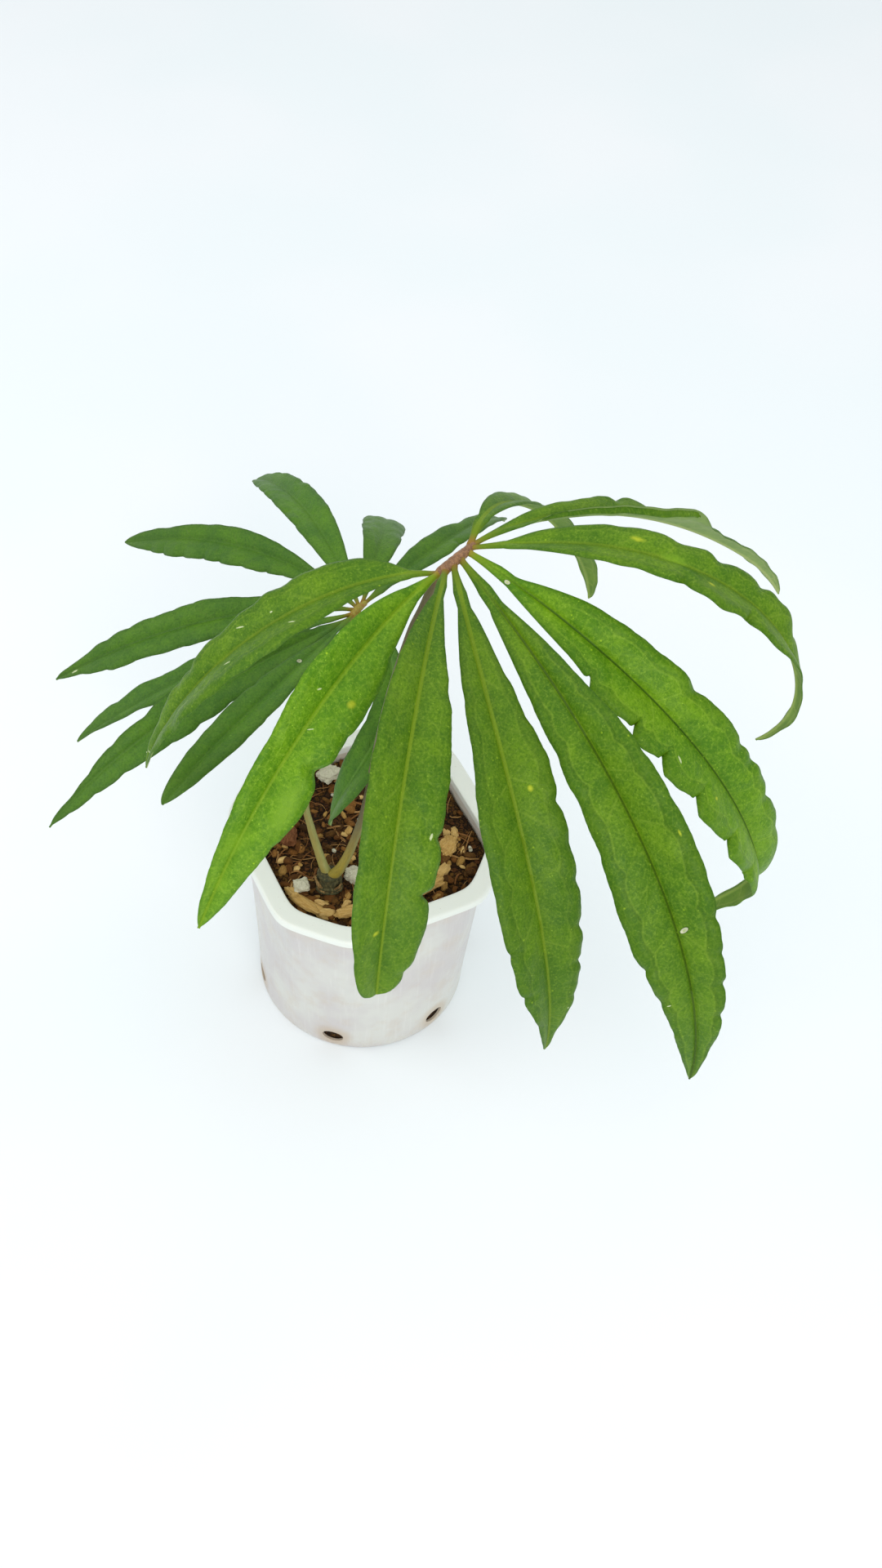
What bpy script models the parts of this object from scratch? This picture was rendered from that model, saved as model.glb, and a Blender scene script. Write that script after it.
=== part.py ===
"""Potted anthurium: two compound leaves in a white plastic pot.

Front leaf: a petiole that bends into a short hub bar, with nine long
leaflets.  Back leaf: the same, smaller and lower.  Both petioles rise from one
short stem base in a coarse husk mix.  The pot has a flat lip shaped like a
square with cut corners, a wall that turns round towards the base, and six
drain holes low in the wall.

Origin: centre of the pot's flat underside.  +Z up, -Y towards the viewer.
Working units in the tables are millimetres; meshes are written in metres.
"""
import math

import bmesh
import bpy
from mathutils import Vector, noise

MM = 0.001
GAP = 0.3                      # clearance kept between neighbouring pieces

# ---------------------------------------------------------------- pot, mm
POT_HEIGHT = 106.0
POT_TURN = 30.0                # yaw of the rim's flat sides, degrees
RIM_INNER = 94.0               # across the flats, inside
RIM_CUT = 19.5                 # leg of each cut corner
LIP_WIDTH = 8.5
LIP_THICK = 1.4
SKIRT = 3.6                    # the lip's turned-down edge
BASE_RADIUS = 49.0
WALL = 1.2
FLOOR_THICK = 1.6
ROUNDNESS = 26                 # higher is a sharper rim corner
POT_SIDES = 48
DRAIN_COUNT = 6
DRAIN_FIRST = -160.0           # degrees
DRAIN_Z = 8.4
DRAIN_WIDE = 10.0
DRAIN_TALL = 7.6

# --------------------------------------------------------------- soil, mm
SOIL_EDGE_Z = 98.6
SOIL_CROWN = 1.6

# ------------------------------------------------------- stems and hubs, mm
CROWN = (-13.5, -28.5)
STEM_FOOT_Z = 100.9
STEM_TOP_Z = 109.5
STEM_RADIUS = 5.2

# route points of each petiole, then its hub bar, with the radius there
FRONT_STALK = [
    (-10.4, -29.4, 110.6, 2.3), (-8.2, -30.0, 116.0, 2.1), (-4.3, -30.4, 130.0, 1.8),
    (0.9, -31.6, 158.0, 1.6), (4.4, -33.0, 193.0, 1.45), (8.4, -34.5, 228.0, 1.35),
    (14.3, -35.8, 262.0, 1.3), (18.3, -36.6, 277.5, 1.35), (21.2, -37.4, 288.6, 1.6),
    (23.4, -36.4, 294.2, 1.95), (26.6, -32.0, 295.2, 1.9), (30.2, -27.0, 295.4, 1.7),
    (33.6, -21.4, 295.2, 1.35),
]
BACK_STALK = [
    (-16.4, -27.0, 112.2, 2.0), (-19.4, -22.0, 116.4, 1.8), (-23.0, -15.4, 122.0, 1.6),
    (-26.0, -9.6, 132.0, 1.45), (-24.2, -1.0, 150.0, 1.3), (-19.8, 10.0, 170.0, 1.2),
    (-14.6, 20.0, 193.0, 1.15), (-12.6, 23.6, 204.0, 1.25), (-11.8, 25.6, 208.6, 1.4),
    (-9.9, 28.6, 210.4, 1.4), (-7.2, 33.0, 210.5, 1.0),
]

FRONT_HUB_POINTS = 4           # how many of the last route points make the bar
BACK_HUB_POINTS = 3

# ------------------------------------------------------------- leaflets
# One row each.  seat: place along the hub bar, 0 to 1.  heading: compass of
# the first stretch, degrees from +X.  rise: its climb.  droop: how far the rib
# has tipped by the end.  sweep: how far the heading turns.  bend: 1 is an even
# arch, less bends early, more bends late.  hook: extra curl of the last fifth.
# long, wide: mm.  roll, turn: tilt of the blade about its rib at the start,
# and how much it grows.  base, tip: how slowly the blade widens and narrows.
#                    seat heading rise droop sweep bend hook long wide roll turn base  tip
FRONT_LEAFLETS = [
    ("front_leaflet_1", 0.0, 202, 19, 89, 1, 0.7, 2, 136, 27.5, -5, -5, 0.64, 0.82),
    ("front_leaflet_2", 0.06, 240, 16, 75, -5, 0.68, 0, 151, 25, 29, 19, 0.84, 0.92),
    ("front_leaflet_3", 0.2, 266, 19, 91, 1, 1.17, 0, 162, 28, 22, 15, 1.06, 0.5),
    ("front_leaflet_4", 0.4, 281, 7, 98, 26, 1.18, 2, 190, 29, 3, 2, 1.12, 0.82),
    ("front_leaflet_5", 0.58, 302, 2, 92, 12, 1.45, 0, 218, 29.5, -27, -13, 1.13, 0.89),
    ("front_leaflet_6", 0.8, 320, 5, 93, 46, 0.92, 46, 208, 31, -24, 2, 0.84, 0.7),
    ("front_leaflet_7", 0.92, 347, 24, 145, 4, 1.67, 10, 174, 24, 4, -8, 0.62, 0.78),
    ("front_leaflet_8", 1.0, 36, 20, 67, -19, 0.5, 11, 162, 23, 12, -3, 0.79, 0.77),
    ("front_leaflet_9", 0.9, 80, 14, 85, -66, 0.5, 10, 134, 20, 0, 24, 0.8, 0.67),
]
BACK_LEAFLETS = [
    ("back_leaflet_1", 1.0, 53, 6, 49, 15, 1.2, 0, 118, 16.5, 0, 12, 0.9, 0.73),
    ("back_leaflet_2", 0.78, 82, 7, 65, 19, 1.17, 0, 132, 19, -10, -3, 0.84, 0.69),
    ("back_leaflet_3", 0.66, 114, 6, 46, 7, 1.06, 0, 139, 19.5, 11, 0, 0.86, 0.69),
    ("back_leaflet_4", 0.58, 139, 8, 41, 18, 0.6, 0, 141, 18, 25, 5, 0.92, 0.73),
    ("back_leaflet_5", 0.48, 188, 11, 48, 0, 0.65, 0, 131, 20, 11, 4, 0.88, 0.81),
    ("back_leaflet_6", 0.26, 210, 6, 42, -10, 0.75, 0, 122, 17.5, -8, -4, 0.95, 0.71),
    ("back_leaflet_7", 0.0, 228, 9, 55, -14, 1.38, 4, 150, 18.5, 23, 11, 0.9, 0.95),
    ("back_leaflet_8", 0.24, 249, 15, 28, -13, 1.31, 10, 124, 16, -3, 3, 1.1, 0.64),
    ("back_leaflet_9", 0.44, 323, 2, 86, -150, 1.05, 0, 102, 12.5, 0, 0, 0.95, 0.65),
]
STALK_PART = 0.05              # share of a leaflet that is its bare stalklet
STALK_HALF = 0.62              # half width of that stalklet
RIB_THICK = 1.15
EDGE_THICK = 0.75
GUTTER = 12.0                  # each half of a blade is raised by this angle
LEAF_SECTIONS = 20

# loose pieces on top of the mix: name, x, y, radii x y z, yaw, colour key
LUMPS = [
    ("pumice_lump_1", -25.0, -31.0, 4.0, 3.6, 3.2,  20, "pumice"),
    ("pumice_lump_2",  -3.2, -23.0, 4.6, 4.0, 3.4, -35, "pumice"),
    ("pumice_lump_3", -21.0,  33.0, 5.6, 4.6, 3.2,  50, "pumice"),
    ("husk_chunk_1",  -21.6, -40.2, 9.0, 2.9, 2.2, -28, "husk"),
    ("husk_chunk_2",   -3.4, -42.0, 6.8, 3.0, 2.2,  24, "husk"),
    ("husk_chunk_3",   29.0, -24.6, 9.5, 3.2, 2.4,  38, "husk"),
    ("husk_chunk_4",   36.4,  -1.4, 5.6, 4.4, 3.0,  70, "husk"),
    ("husk_chunk_5",   10.6,  33.0, 7.6, 3.6, 2.4, -12, "husk"),
    ("bark_chunk_1",  -34.6,  -4.6, 6.6, 4.2, 2.8, 100, "bark"),
    ("bark_chunk_2",   13.6, -10.4, 6.2, 4.4, 2.8,  15, "bark"),
]

COLOURS = {
    "plastic": ((0.88, 0.88, 0.87), 0.38),
    "soil":    ((0.085, 0.035, 0.016), 0.95),
    "stem":    ((0.055, 0.062, 0.040), 0.70),
    "petiole": ((0.150, 0.125, 0.045), 0.45),
    "leaf_a":  ((0.070, 0.200, 0.022), 0.50),
    "leaf_b":  ((0.050, 0.150, 0.048), 0.55),
    "pumice":  ((0.620, 0.600, 0.540), 0.90),
    "husk":    ((0.330, 0.170, 0.060), 0.90),
    "bark":    ((0.120, 0.055, 0.028), 0.90),
}


# ------------------------------------------------------------------ helpers
def clear_scene():
    for ob in list(bpy.data.objects):
        bpy.data.objects.remove(ob, do_unlink=True)


def material(name, key):
    colour, rough = COLOURS[key]
    mat = bpy.data.materials.new(name)
    mat.use_nodes = True
    bsdf = mat.node_tree.nodes["Principled BSDF"]
    bsdf.inputs["Base Color"].default_value = (*colour, 1.0)
    bsdf.inputs["Roughness"].default_value = rough
    bsdf.inputs["Metallic"].default_value = 0.0
    mat.diffuse_color = (*colour, 1.0)
    return mat


def finish_object(name, bm, mat, smooth=True, sharp=40.0):
    bmesh.ops.scale(bm, vec=(MM, MM, MM), verts=bm.verts)
    bmesh.ops.recalc_face_normals(bm, faces=bm.faces)
    mesh = bpy.data.meshes.new(name)
    bm.to_mesh(mesh)
    bm.free()
    mesh.materials.append(mat)
    if smooth:
        mesh.shade_smooth()
        mesh.set_sharp_from_angle(angle=math.radians(sharp))
    ob = bpy.data.objects.new(name, mesh)
    bpy.context.scene.collection.objects.link(ob)
    return ob


def skin_rings(bm, rings, start_point=None, end_point=None):
    """Join closed rings of equal count, capped flat or to a single point."""
    made = [[bm.verts.new(p) for p in ring] for ring in rings]
    count = len(rings[0])
    for low, high in zip(made, made[1:]):
        for i in range(count):
            j = (i + 1) % count
            bm.faces.new((low[i], low[j], high[j], high[i]))
    for ring, point in ((made[0], start_point), (made[-1], end_point)):
        if point is None:
            bm.faces.new(ring)
        else:
            tip = bm.verts.new(point)
            for i in range(count):
                bm.faces.new((ring[i], ring[(i + 1) % count], tip))
    return made


# ---------------------------------------------------------------------- pot
def rim_radius(theta, half, cut):
    """Polar radius of a square with cut, slightly rounded corners."""
    diag = (2.0 * half - cut) / math.sqrt(2.0)
    total = 0.0
    for k in range(8):
        side = half if k % 2 == 0 else diag
        c = math.cos(theta - k * math.pi / 4.0) / side
        if c > 0.0:
            total += c ** ROUNDNESS
    return total ** (-1.0 / ROUNDNESS)


def pot_ring(z, grow, count=POT_SIDES, squareness=None):
    """One level of the wall: round at the base, cut-corner square at the rim.
    grow moves it out from the rim's inner line."""
    share = min(max(z / (POT_HEIGHT - 6.0), 0.0), 1.0) if squareness is None else squareness
    share = share * share * (3.0 - 2.0 * share) * 0.45 + share * 0.55
    turn = math.radians(POT_TURN)
    ring = []
    for k in range(count):
        a = 2.0 * math.pi * k / count
        top = rim_radius(a, RIM_INNER / 2.0 + grow, RIM_CUT + 0.586 * grow)
        low = BASE_RADIUS - WALL + grow
        r = low + (top - low) * share
        ring.append((r * math.cos(a + turn), r * math.sin(a + turn), z))
    return ring


def make_pot(mat):
    levels = [2.2, 16.0, 36.0, 58.0, 80.0]
    top = POT_HEIGHT
    under = top - LIP_THICK
    rings = [pot_ring(0.0, WALL - 1.6), pot_ring(0.6, WALL - 0.5)]
    rings += [pot_ring(z, WALL) for z in levels]
    rings += [pot_ring(under - 4.0, WALL, squareness=1.0),
              pot_ring(under, WALL + 0.6, squareness=1.0),
              pot_ring(under, LIP_WIDTH - 1.3, squareness=1.0),
              pot_ring(top - SKIRT, LIP_WIDTH - 1.0, squareness=1.0),
              pot_ring(top - SKIRT, LIP_WIDTH, squareness=1.0),
              pot_ring(top - 0.5, LIP_WIDTH - 0.15, squareness=1.0),
              pot_ring(top, LIP_WIDTH - 0.6, squareness=1.0),
              pot_ring(top, 0.5, squareness=1.0),
              pot_ring(top - 0.5, 0.0, squareness=1.0)]
    rings += [pot_ring(z, 0.0) for z in (under - 4.0, 80.0, 58.0, 36.0, 16.0)]
    rings += [pot_ring(FLOOR_THICK + 1.0, 0.0), pot_ring(FLOOR_THICK, -1.0)]
    bm = bmesh.new()
    skin_rings(bm, rings, (0.0, 0.0, 0.0), (0.0, 0.0, FLOOR_THICK))
    pot = finish_object("pot", bm, mat, sharp=32.0)

    bm = bmesh.new()
    for k in range(DRAIN_COUNT):
        a = math.radians(DRAIN_FIRST + 360.0 * k / DRAIN_COUNT)
        out = Vector((math.cos(a), math.sin(a), 0.0))
        side = Vector((-math.sin(a), math.cos(a), 0.0))
        loops = []
        for reach in (BASE_RADIUS - 5.0, BASE_RADIUS + 5.0):
            loop = []
            for i in range(12):
                b = 2.0 * math.pi * i / 12
                p = out * reach + side * (DRAIN_WIDE / 2 * math.cos(b))
                p.z = DRAIN_Z + DRAIN_TALL / 2 * math.sin(b)
                loop.append(tuple(p))
            loops.append(loop)
        skin_rings(bm, loops)
    cutter = finish_object("drain_cutter", bm, mat, smooth=False)
    cutter.hide_render = True
    cutter.display_type = "WIRE"
    cut = pot.modifiers.new("drain_holes", "BOOLEAN")
    cut.operation = "DIFFERENCE"
    cut.solver = "EXACT"
    cut.object = cutter
    return pot


# --------------------------------------------------------------------- soil
def soil_height(x, y):
    """Height of the mix's top, gently mounded with lumps."""
    r = math.hypot(x, y) / 46.0
    z = SOIL_EDGE_Z + SOIL_CROWN * (1.0 - min(r, 1.0) ** 2)
    return z + 0.45 * noise.noise(Vector((x * 0.11, y * 0.11, 3.7)))


def make_soil(mat):
    floor_z = FLOOR_THICK + GAP
    rings = [pot_ring(floor_z, -1.4 - GAP), pot_ring(floor_z + 1.4, -GAP - 0.15)]
    rings += [pot_ring(z, -GAP - 0.1) for z in (16.0, 36.0, 58.0, 80.0)]
    rings += [pot_ring(96.2, -GAP - 0.1)]
    for share in (0.985, 0.80, 0.55, 0.28):
        ring = []
        for x, y, _ in pot_ring(98.0, -GAP - 0.1):
            x, y = x * share, y * share
            ring.append((x, y, soil_height(x, y)))
        rings.append(ring)
    bm = bmesh.new()
    skin_rings(bm, rings, (0.0, 0.0, floor_z), (0.0, 0.0, soil_height(0.0, 0.0)))
    return finish_object("soil", bm, mat, sharp=50.0)


def make_lump(name, x, y, rx, ry, rz, yaw, mat):
    """A broken chip: an icosphere knocked about, its underside kept flat."""
    bm = bmesh.new()
    bmesh.ops.create_icosphere(bm, subdivisions=1, radius=1.0)
    c, s = math.cos(math.radians(yaw)), math.sin(math.radians(yaw))
    foot = max(soil_height(x + a * c - b * s, y + a * s + b * c)
               for a in (-rx, 0.0, rx) for b in (-ry, 0.0, ry)) + GAP + 0.1
    for v in bm.verts:
        k = 1.0 + 0.22 * noise.noise(v.co * 2.3 + Vector((x, y, rz)))
        px, py, pz = v.co.x * rx * k, v.co.y * ry * k, max(v.co.z, -0.45) * rz * k
        v.co = Vector((x + px * c - py * s, y + px * s + py * c,
                       foot + 0.45 * rz * 1.22 + pz))
    low = min(v.co.z for v in bm.verts)
    for v in bm.verts:
        v.co.z -= low - foot
    return finish_object(name, bm, mat, smooth=False)


# -------------------------------------------------------------------- stems
def smooth_route(points, per_span=3):
    """Points of a smooth curve through the route's own points."""
    out = []
    n = len(points)
    for i in range(n - 1):
        p0 = points[max(i - 1, 0)]
        p1, p2 = points[i], points[i + 1]
        p3 = points[min(i + 2, n - 1)]
        for k in range(per_span):
            t = k / per_span
            out.append(tuple(
                0.5 * (2 * b + (c - a) * t + (2 * a - 5 * b + 4 * c - d) * t * t
                       + (3 * b - a - 3 * c + d) * t ** 3)
                for a, b, c, d in zip(p0, p1, p2, p3)))
    out.append(tuple(points[-1]))
    return out


def tube_rings(points, sides):
    """Rings square to a route, carried along it without twisting."""
    rings = []
    ref = Vector((1.0, 0.0, 0.0))
    for i, p in enumerate(points):
        a = Vector(points[max(i - 1, 0)][:3])
        b = Vector(points[min(i + 1, len(points) - 1)][:3])
        tangent = (b - a).normalized()
        ref = (ref - tangent * ref.dot(tangent)).normalized()
        other = tangent.cross(ref)
        rings.append([tuple(Vector(p[:3]) + (ref * math.cos(w) + other * math.sin(w)) * p[3])
                      for w in (2.0 * math.pi * k / sides for k in range(sides))])
    return rings


def make_stalk(name, route, mat):
    bm = bmesh.new()
    skin_rings(bm, tube_rings(smooth_route(route), 8))
    return finish_object(name, bm, mat, sharp=50.0)


def make_stem_base(mat):
    """Short ringed stem that both petioles grow from."""
    rings = []
    count = 12
    steps = 6
    for i in range(steps + 1):
        t = i / steps
        z = STEM_FOOT_Z + (STEM_TOP_Z - STEM_FOOT_Z) * t
        r = STEM_RADIUS * (1.0 - 0.16 * t) * (1.0 + 0.05 * math.cos(t * math.pi * 6.0))
        rings.append([(CROWN[0] + r * 1.12 * math.cos(a), CROWN[1] + r * 0.92 * math.sin(a), z)
                      for a in (2.0 * math.pi * k / count for k in range(count))])
    bm = bmesh.new()
    skin_rings(bm, rings)
    return finish_object("stem_base", bm, mat, sharp=50.0)


# ----------------------------------------------------------------- leaflets
def blade_half_width(s, wide, base, tip):
    """Half width at share s of the leaflet's length."""
    if s <= STALK_PART:
        return STALK_HALF
    t = (s - STALK_PART) / (1.0 - STALK_PART)
    peak = base / (base + tip)
    full = (t ** base) * ((1.0 - t) ** tip) / ((peak ** base) * ((1.0 - peak) ** tip))
    return max(wide / 2.0 * full, STALK_HALF if s < 0.5 else 0.35)


def rib_frames(start, row, steps):
    """Places and directions along a leaflet's rib: point, tangent, side, up."""
    (_, _, heading, rise, droop, sweep, bend, hook, long, wide,
     roll, turn, base, tip) = row
    fine = 8
    frames = []
    place = Vector(start)
    total = steps * fine
    for i in range(total + 1):
        s = i / total
        u = min(max((s - 0.8) / 0.2, 0.0), 1.0)
        climb = math.radians(rise - droop * s ** bend - hook * u * u * (3.0 - 2.0 * u))
        head = math.radians(heading + sweep * s)
        flat = Vector((math.cos(head), math.sin(head), 0.0))
        tangent = flat * math.cos(climb) + Vector((0, 0, math.sin(climb)))
        if i:
            place = place + (tangent + last).normalized() * (long / total)
        last = tangent
        if i % fine == 0:
            side = Vector((math.sin(head), -math.cos(head), 0.0))
            up = -flat * math.sin(climb) + Vector((0, 0, math.cos(climb)))
            w = math.radians(roll + turn * s)
            frames.append((s, place.copy(), tangent, side * math.cos(w) + up * math.sin(w),
                           up * math.cos(w) - side * math.sin(w)))
    return frames


def hub_place(route, seat):
    """Point and radius at a share of the hub bar, the last part of a route."""
    first = len(route) - (FRONT_HUB_POINTS if route is FRONT_STALK else BACK_HUB_POINTS)
    span = (len(route) - 1 - first) * seat
    i = min(int(span), len(route) - 2 - first) + first
    t = span + first - i
    return [a + (b - a) * t for a, b in zip(route[i], route[i + 1])]


def leaflet_start(route, row):
    """Move out from the hub bar until the stalklet's end clears it."""
    *centre, _ = hub_place(route, row[1])
    centre = Vector(centre)
    _, _, tangent, side, up = rib_frames(centre, row, 1)[0]
    bar = [p for p in smooth_route(route) if p[2] > route[-1][2] - 22.0]
    reach = 0.5
    while True:
        corners = [centre + tangent * reach + side * a + up * b
                   for a in (-STALK_HALF, STALK_HALF) for b in (-0.65, 0.65)]
        clear = min((c - Vector(p[:3])).length - p[3] for c in corners for p in bar)
        if clear > GAP + 0.1:
            return centre + tangent * reach
        reach += 0.1


def make_leaflet(row, route, mat):
    wide, base, tip = row[9], row[12], row[13]
    lift = math.radians(GUTTER)
    rings = []
    for s, place, tangent, side, up in rib_frames(leaflet_start(route, row), row, LEAF_SECTIONS):
        half = blade_half_width(s, wide, base, tip)
        thick = RIB_THICK / 2.0 * (1.0 - 0.45 * s)
        edge = min(EDGE_THICK / 2.0, thick) if half > 1.0 else thick
        rise = up * (half * math.sin(lift) if half > 1.0 else 0.0)
        out = side * (half * math.cos(lift) if half > 1.0 else half)
        rings.append([tuple(p) for p in (
            place + out + rise + up * edge, place + up * thick, place - out + rise + up * edge,
            place - out + rise - up * edge, place - up * thick, place + out + rise - up * edge)])
    bm = bmesh.new()
    skin_rings(bm, rings)
    return finish_object(row[0], bm, mat, sharp=60.0)


# --------------------------------------------------------------------- main
def main():
    clear_scene()
    make_pot(material("white_plastic", "plastic"))
    make_soil(material("husk_mix", "soil"))
    make_stem_base(material("stem_bark", "stem"))
    make_stalk("front_petiole", FRONT_STALK, material("petiole_front", "petiole"))
    make_stalk("back_petiole", BACK_STALK, material("petiole_back", "petiole"))
    for row in FRONT_LEAFLETS:
        make_leaflet(row, FRONT_STALK, material(row[0] + "_green", "leaf_a"))
    for row in BACK_LEAFLETS:
        make_leaflet(row, BACK_STALK, material(row[0] + "_green", "leaf_b"))
    for name, x, y, rx, ry, rz, yaw, key in LUMPS:
        make_lump(name, x, y, rx, ry, rz, yaw, material(name + "_" + key, key))


main()
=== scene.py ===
"""Looks of a potted anthurium: two palmate leaves of nine leaflets each, on
brown-olive petioles, in a square-lipped white plastic pot of coarse husk mix.

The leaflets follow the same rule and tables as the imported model: a rib that
arches, sweeps and curls, and a blade that widens and narrows along it.  Here
each one is a fine closed sheet with its veins, ruffles, notches and underside.
Tables are in millimetres and degrees; meshes are written in metres.
"""
import math

import bmesh
import bpy
import numpy as np
from mathutils import Matrix, Vector, noise


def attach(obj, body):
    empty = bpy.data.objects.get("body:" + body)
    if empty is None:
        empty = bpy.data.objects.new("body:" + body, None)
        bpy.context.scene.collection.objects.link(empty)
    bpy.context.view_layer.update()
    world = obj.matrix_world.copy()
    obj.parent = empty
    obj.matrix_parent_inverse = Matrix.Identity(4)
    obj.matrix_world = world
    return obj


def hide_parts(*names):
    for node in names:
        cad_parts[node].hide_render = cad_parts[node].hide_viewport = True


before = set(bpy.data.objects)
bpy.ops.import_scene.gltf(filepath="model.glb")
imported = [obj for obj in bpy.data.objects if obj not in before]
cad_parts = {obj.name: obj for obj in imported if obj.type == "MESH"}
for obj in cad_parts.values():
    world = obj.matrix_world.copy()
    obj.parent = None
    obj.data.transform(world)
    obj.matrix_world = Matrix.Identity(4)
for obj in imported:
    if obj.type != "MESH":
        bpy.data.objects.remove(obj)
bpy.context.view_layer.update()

MM = 0.001
GAP = 0.3

# ---------------------------------------------------------------- pot, mm
POT_HEIGHT = 106.0
POT_TURN = 30.0
RIM_INNER = 94.0
RIM_CUT = 19.5
LIP_WIDTH = 8.5
LIP_THICK = 1.4
SKIRT = 3.6
BASE_RADIUS = 49.0
WALL = 1.2
FLOOR_THICK = 1.6
ROUNDNESS = 26
DRAIN_COUNT = 6
DRAIN_FIRST = -160.0
DRAIN_Z = 8.4
DRAIN_WIDE = 10.0
DRAIN_TALL = 7.6

SOIL_EDGE_Z = 98.6
SOIL_CROWN = 1.6

CROWN = (-13.5, -28.5)
STEM_FOOT_Z = 100.9
STEM_TOP_Z = 109.5
STEM_RADIUS = 5.2

FRONT_STALK = [
    (-10.4, -29.4, 110.6, 2.3), (-8.2, -30.0, 116.0, 2.1), (-4.3, -30.4, 130.0, 1.8),
    (0.9, -31.6, 158.0, 1.6), (4.4, -33.0, 193.0, 1.45), (8.4, -34.5, 228.0, 1.35),
    (14.3, -35.8, 262.0, 1.3), (18.3, -36.6, 277.5, 1.35), (21.2, -37.4, 288.6, 1.6),
    (23.4, -36.4, 294.2, 1.95), (26.6, -32.0, 295.2, 1.9), (30.2, -27.0, 295.4, 1.7),
    (33.6, -21.4, 295.2, 1.35),
]
BACK_STALK = [
    (-16.4, -27.0, 112.2, 2.0), (-19.4, -22.0, 116.4, 1.8), (-23.0, -15.4, 122.0, 1.6),
    (-26.0, -9.6, 132.0, 1.45), (-24.2, -1.0, 150.0, 1.3), (-19.8, 10.0, 170.0, 1.2),
    (-14.6, 20.0, 193.0, 1.15), (-12.6, 23.6, 204.0, 1.25), (-11.8, 25.6, 208.6, 1.4),
    (-9.9, 28.6, 210.4, 1.4), (-7.2, 33.0, 210.5, 1.0),
]
FRONT_HUB_POINTS = 4
BACK_HUB_POINTS = 3

#                    seat heading rise droop sweep bend hook long wide roll turn base  tip
FRONT_LEAFLETS = [
    ("front_leaflet_1", 0.0, 202, 19, 89, 1, 0.7, 2, 136, 27.5, -5, -5, 0.64, 0.82),
    ("front_leaflet_2", 0.06, 240, 16, 75, -5, 0.68, 0, 151, 25, 29, 19, 0.84, 0.92),
    ("front_leaflet_3", 0.2, 266, 19, 91, 1, 1.17, 0, 162, 28, 22, 15, 1.06, 0.5),
    ("front_leaflet_4", 0.4, 281, 7, 98, 26, 1.18, 2, 190, 29, 3, 2, 1.12, 0.82),
    ("front_leaflet_5", 0.58, 302, 2, 92, 12, 1.45, 0, 218, 29.5, -27, -13, 1.13, 0.89),
    ("front_leaflet_6", 0.8, 320, 5, 93, 46, 0.92, 46, 208, 31, -24, 2, 0.84, 0.7),
    ("front_leaflet_7", 0.92, 347, 24, 145, 4, 1.67, 10, 174, 24, 4, -8, 0.62, 0.78),
    ("front_leaflet_8", 1.0, 36, 20, 67, -19, 0.5, 11, 162, 23, 12, -3, 0.79, 0.77),
    ("front_leaflet_9", 0.9, 80, 14, 85, -66, 0.5, 10, 134, 20, 0, 24, 0.8, 0.67),
]
BACK_LEAFLETS = [
    ("back_leaflet_1", 1.0, 53, 6, 49, 15, 1.2, 0, 118, 16.5, 0, 12, 0.9, 0.73),
    ("back_leaflet_2", 0.78, 82, 7, 65, 19, 1.17, 0, 132, 19, -10, -3, 0.84, 0.69),
    ("back_leaflet_3", 0.66, 114, 6, 46, 7, 1.06, 0, 139, 19.5, 11, 0, 0.86, 0.69),
    ("back_leaflet_4", 0.58, 139, 8, 41, 18, 0.6, 0, 141, 18, 25, 5, 0.92, 0.73),
    ("back_leaflet_5", 0.48, 188, 11, 48, 0, 0.65, 0, 131, 20, 11, 4, 0.88, 0.81),
    ("back_leaflet_6", 0.26, 210, 6, 42, -10, 0.75, 0, 122, 17.5, -8, -4, 0.95, 0.71),
    ("back_leaflet_7", 0.0, 228, 9, 55, -14, 1.38, 4, 150, 18.5, 23, 11, 0.9, 0.95),
    ("back_leaflet_8", 0.24, 249, 15, 28, -13, 1.31, 10, 124, 16, -3, 3, 1.1, 0.64),
    ("back_leaflet_9", 0.44, 323, 2, 86, -150, 1.05, 0, 102, 12.5, 0, 0, 0.95, 0.65),
]
STALK_PART = 0.05
STALK_HALF = 0.62

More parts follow.
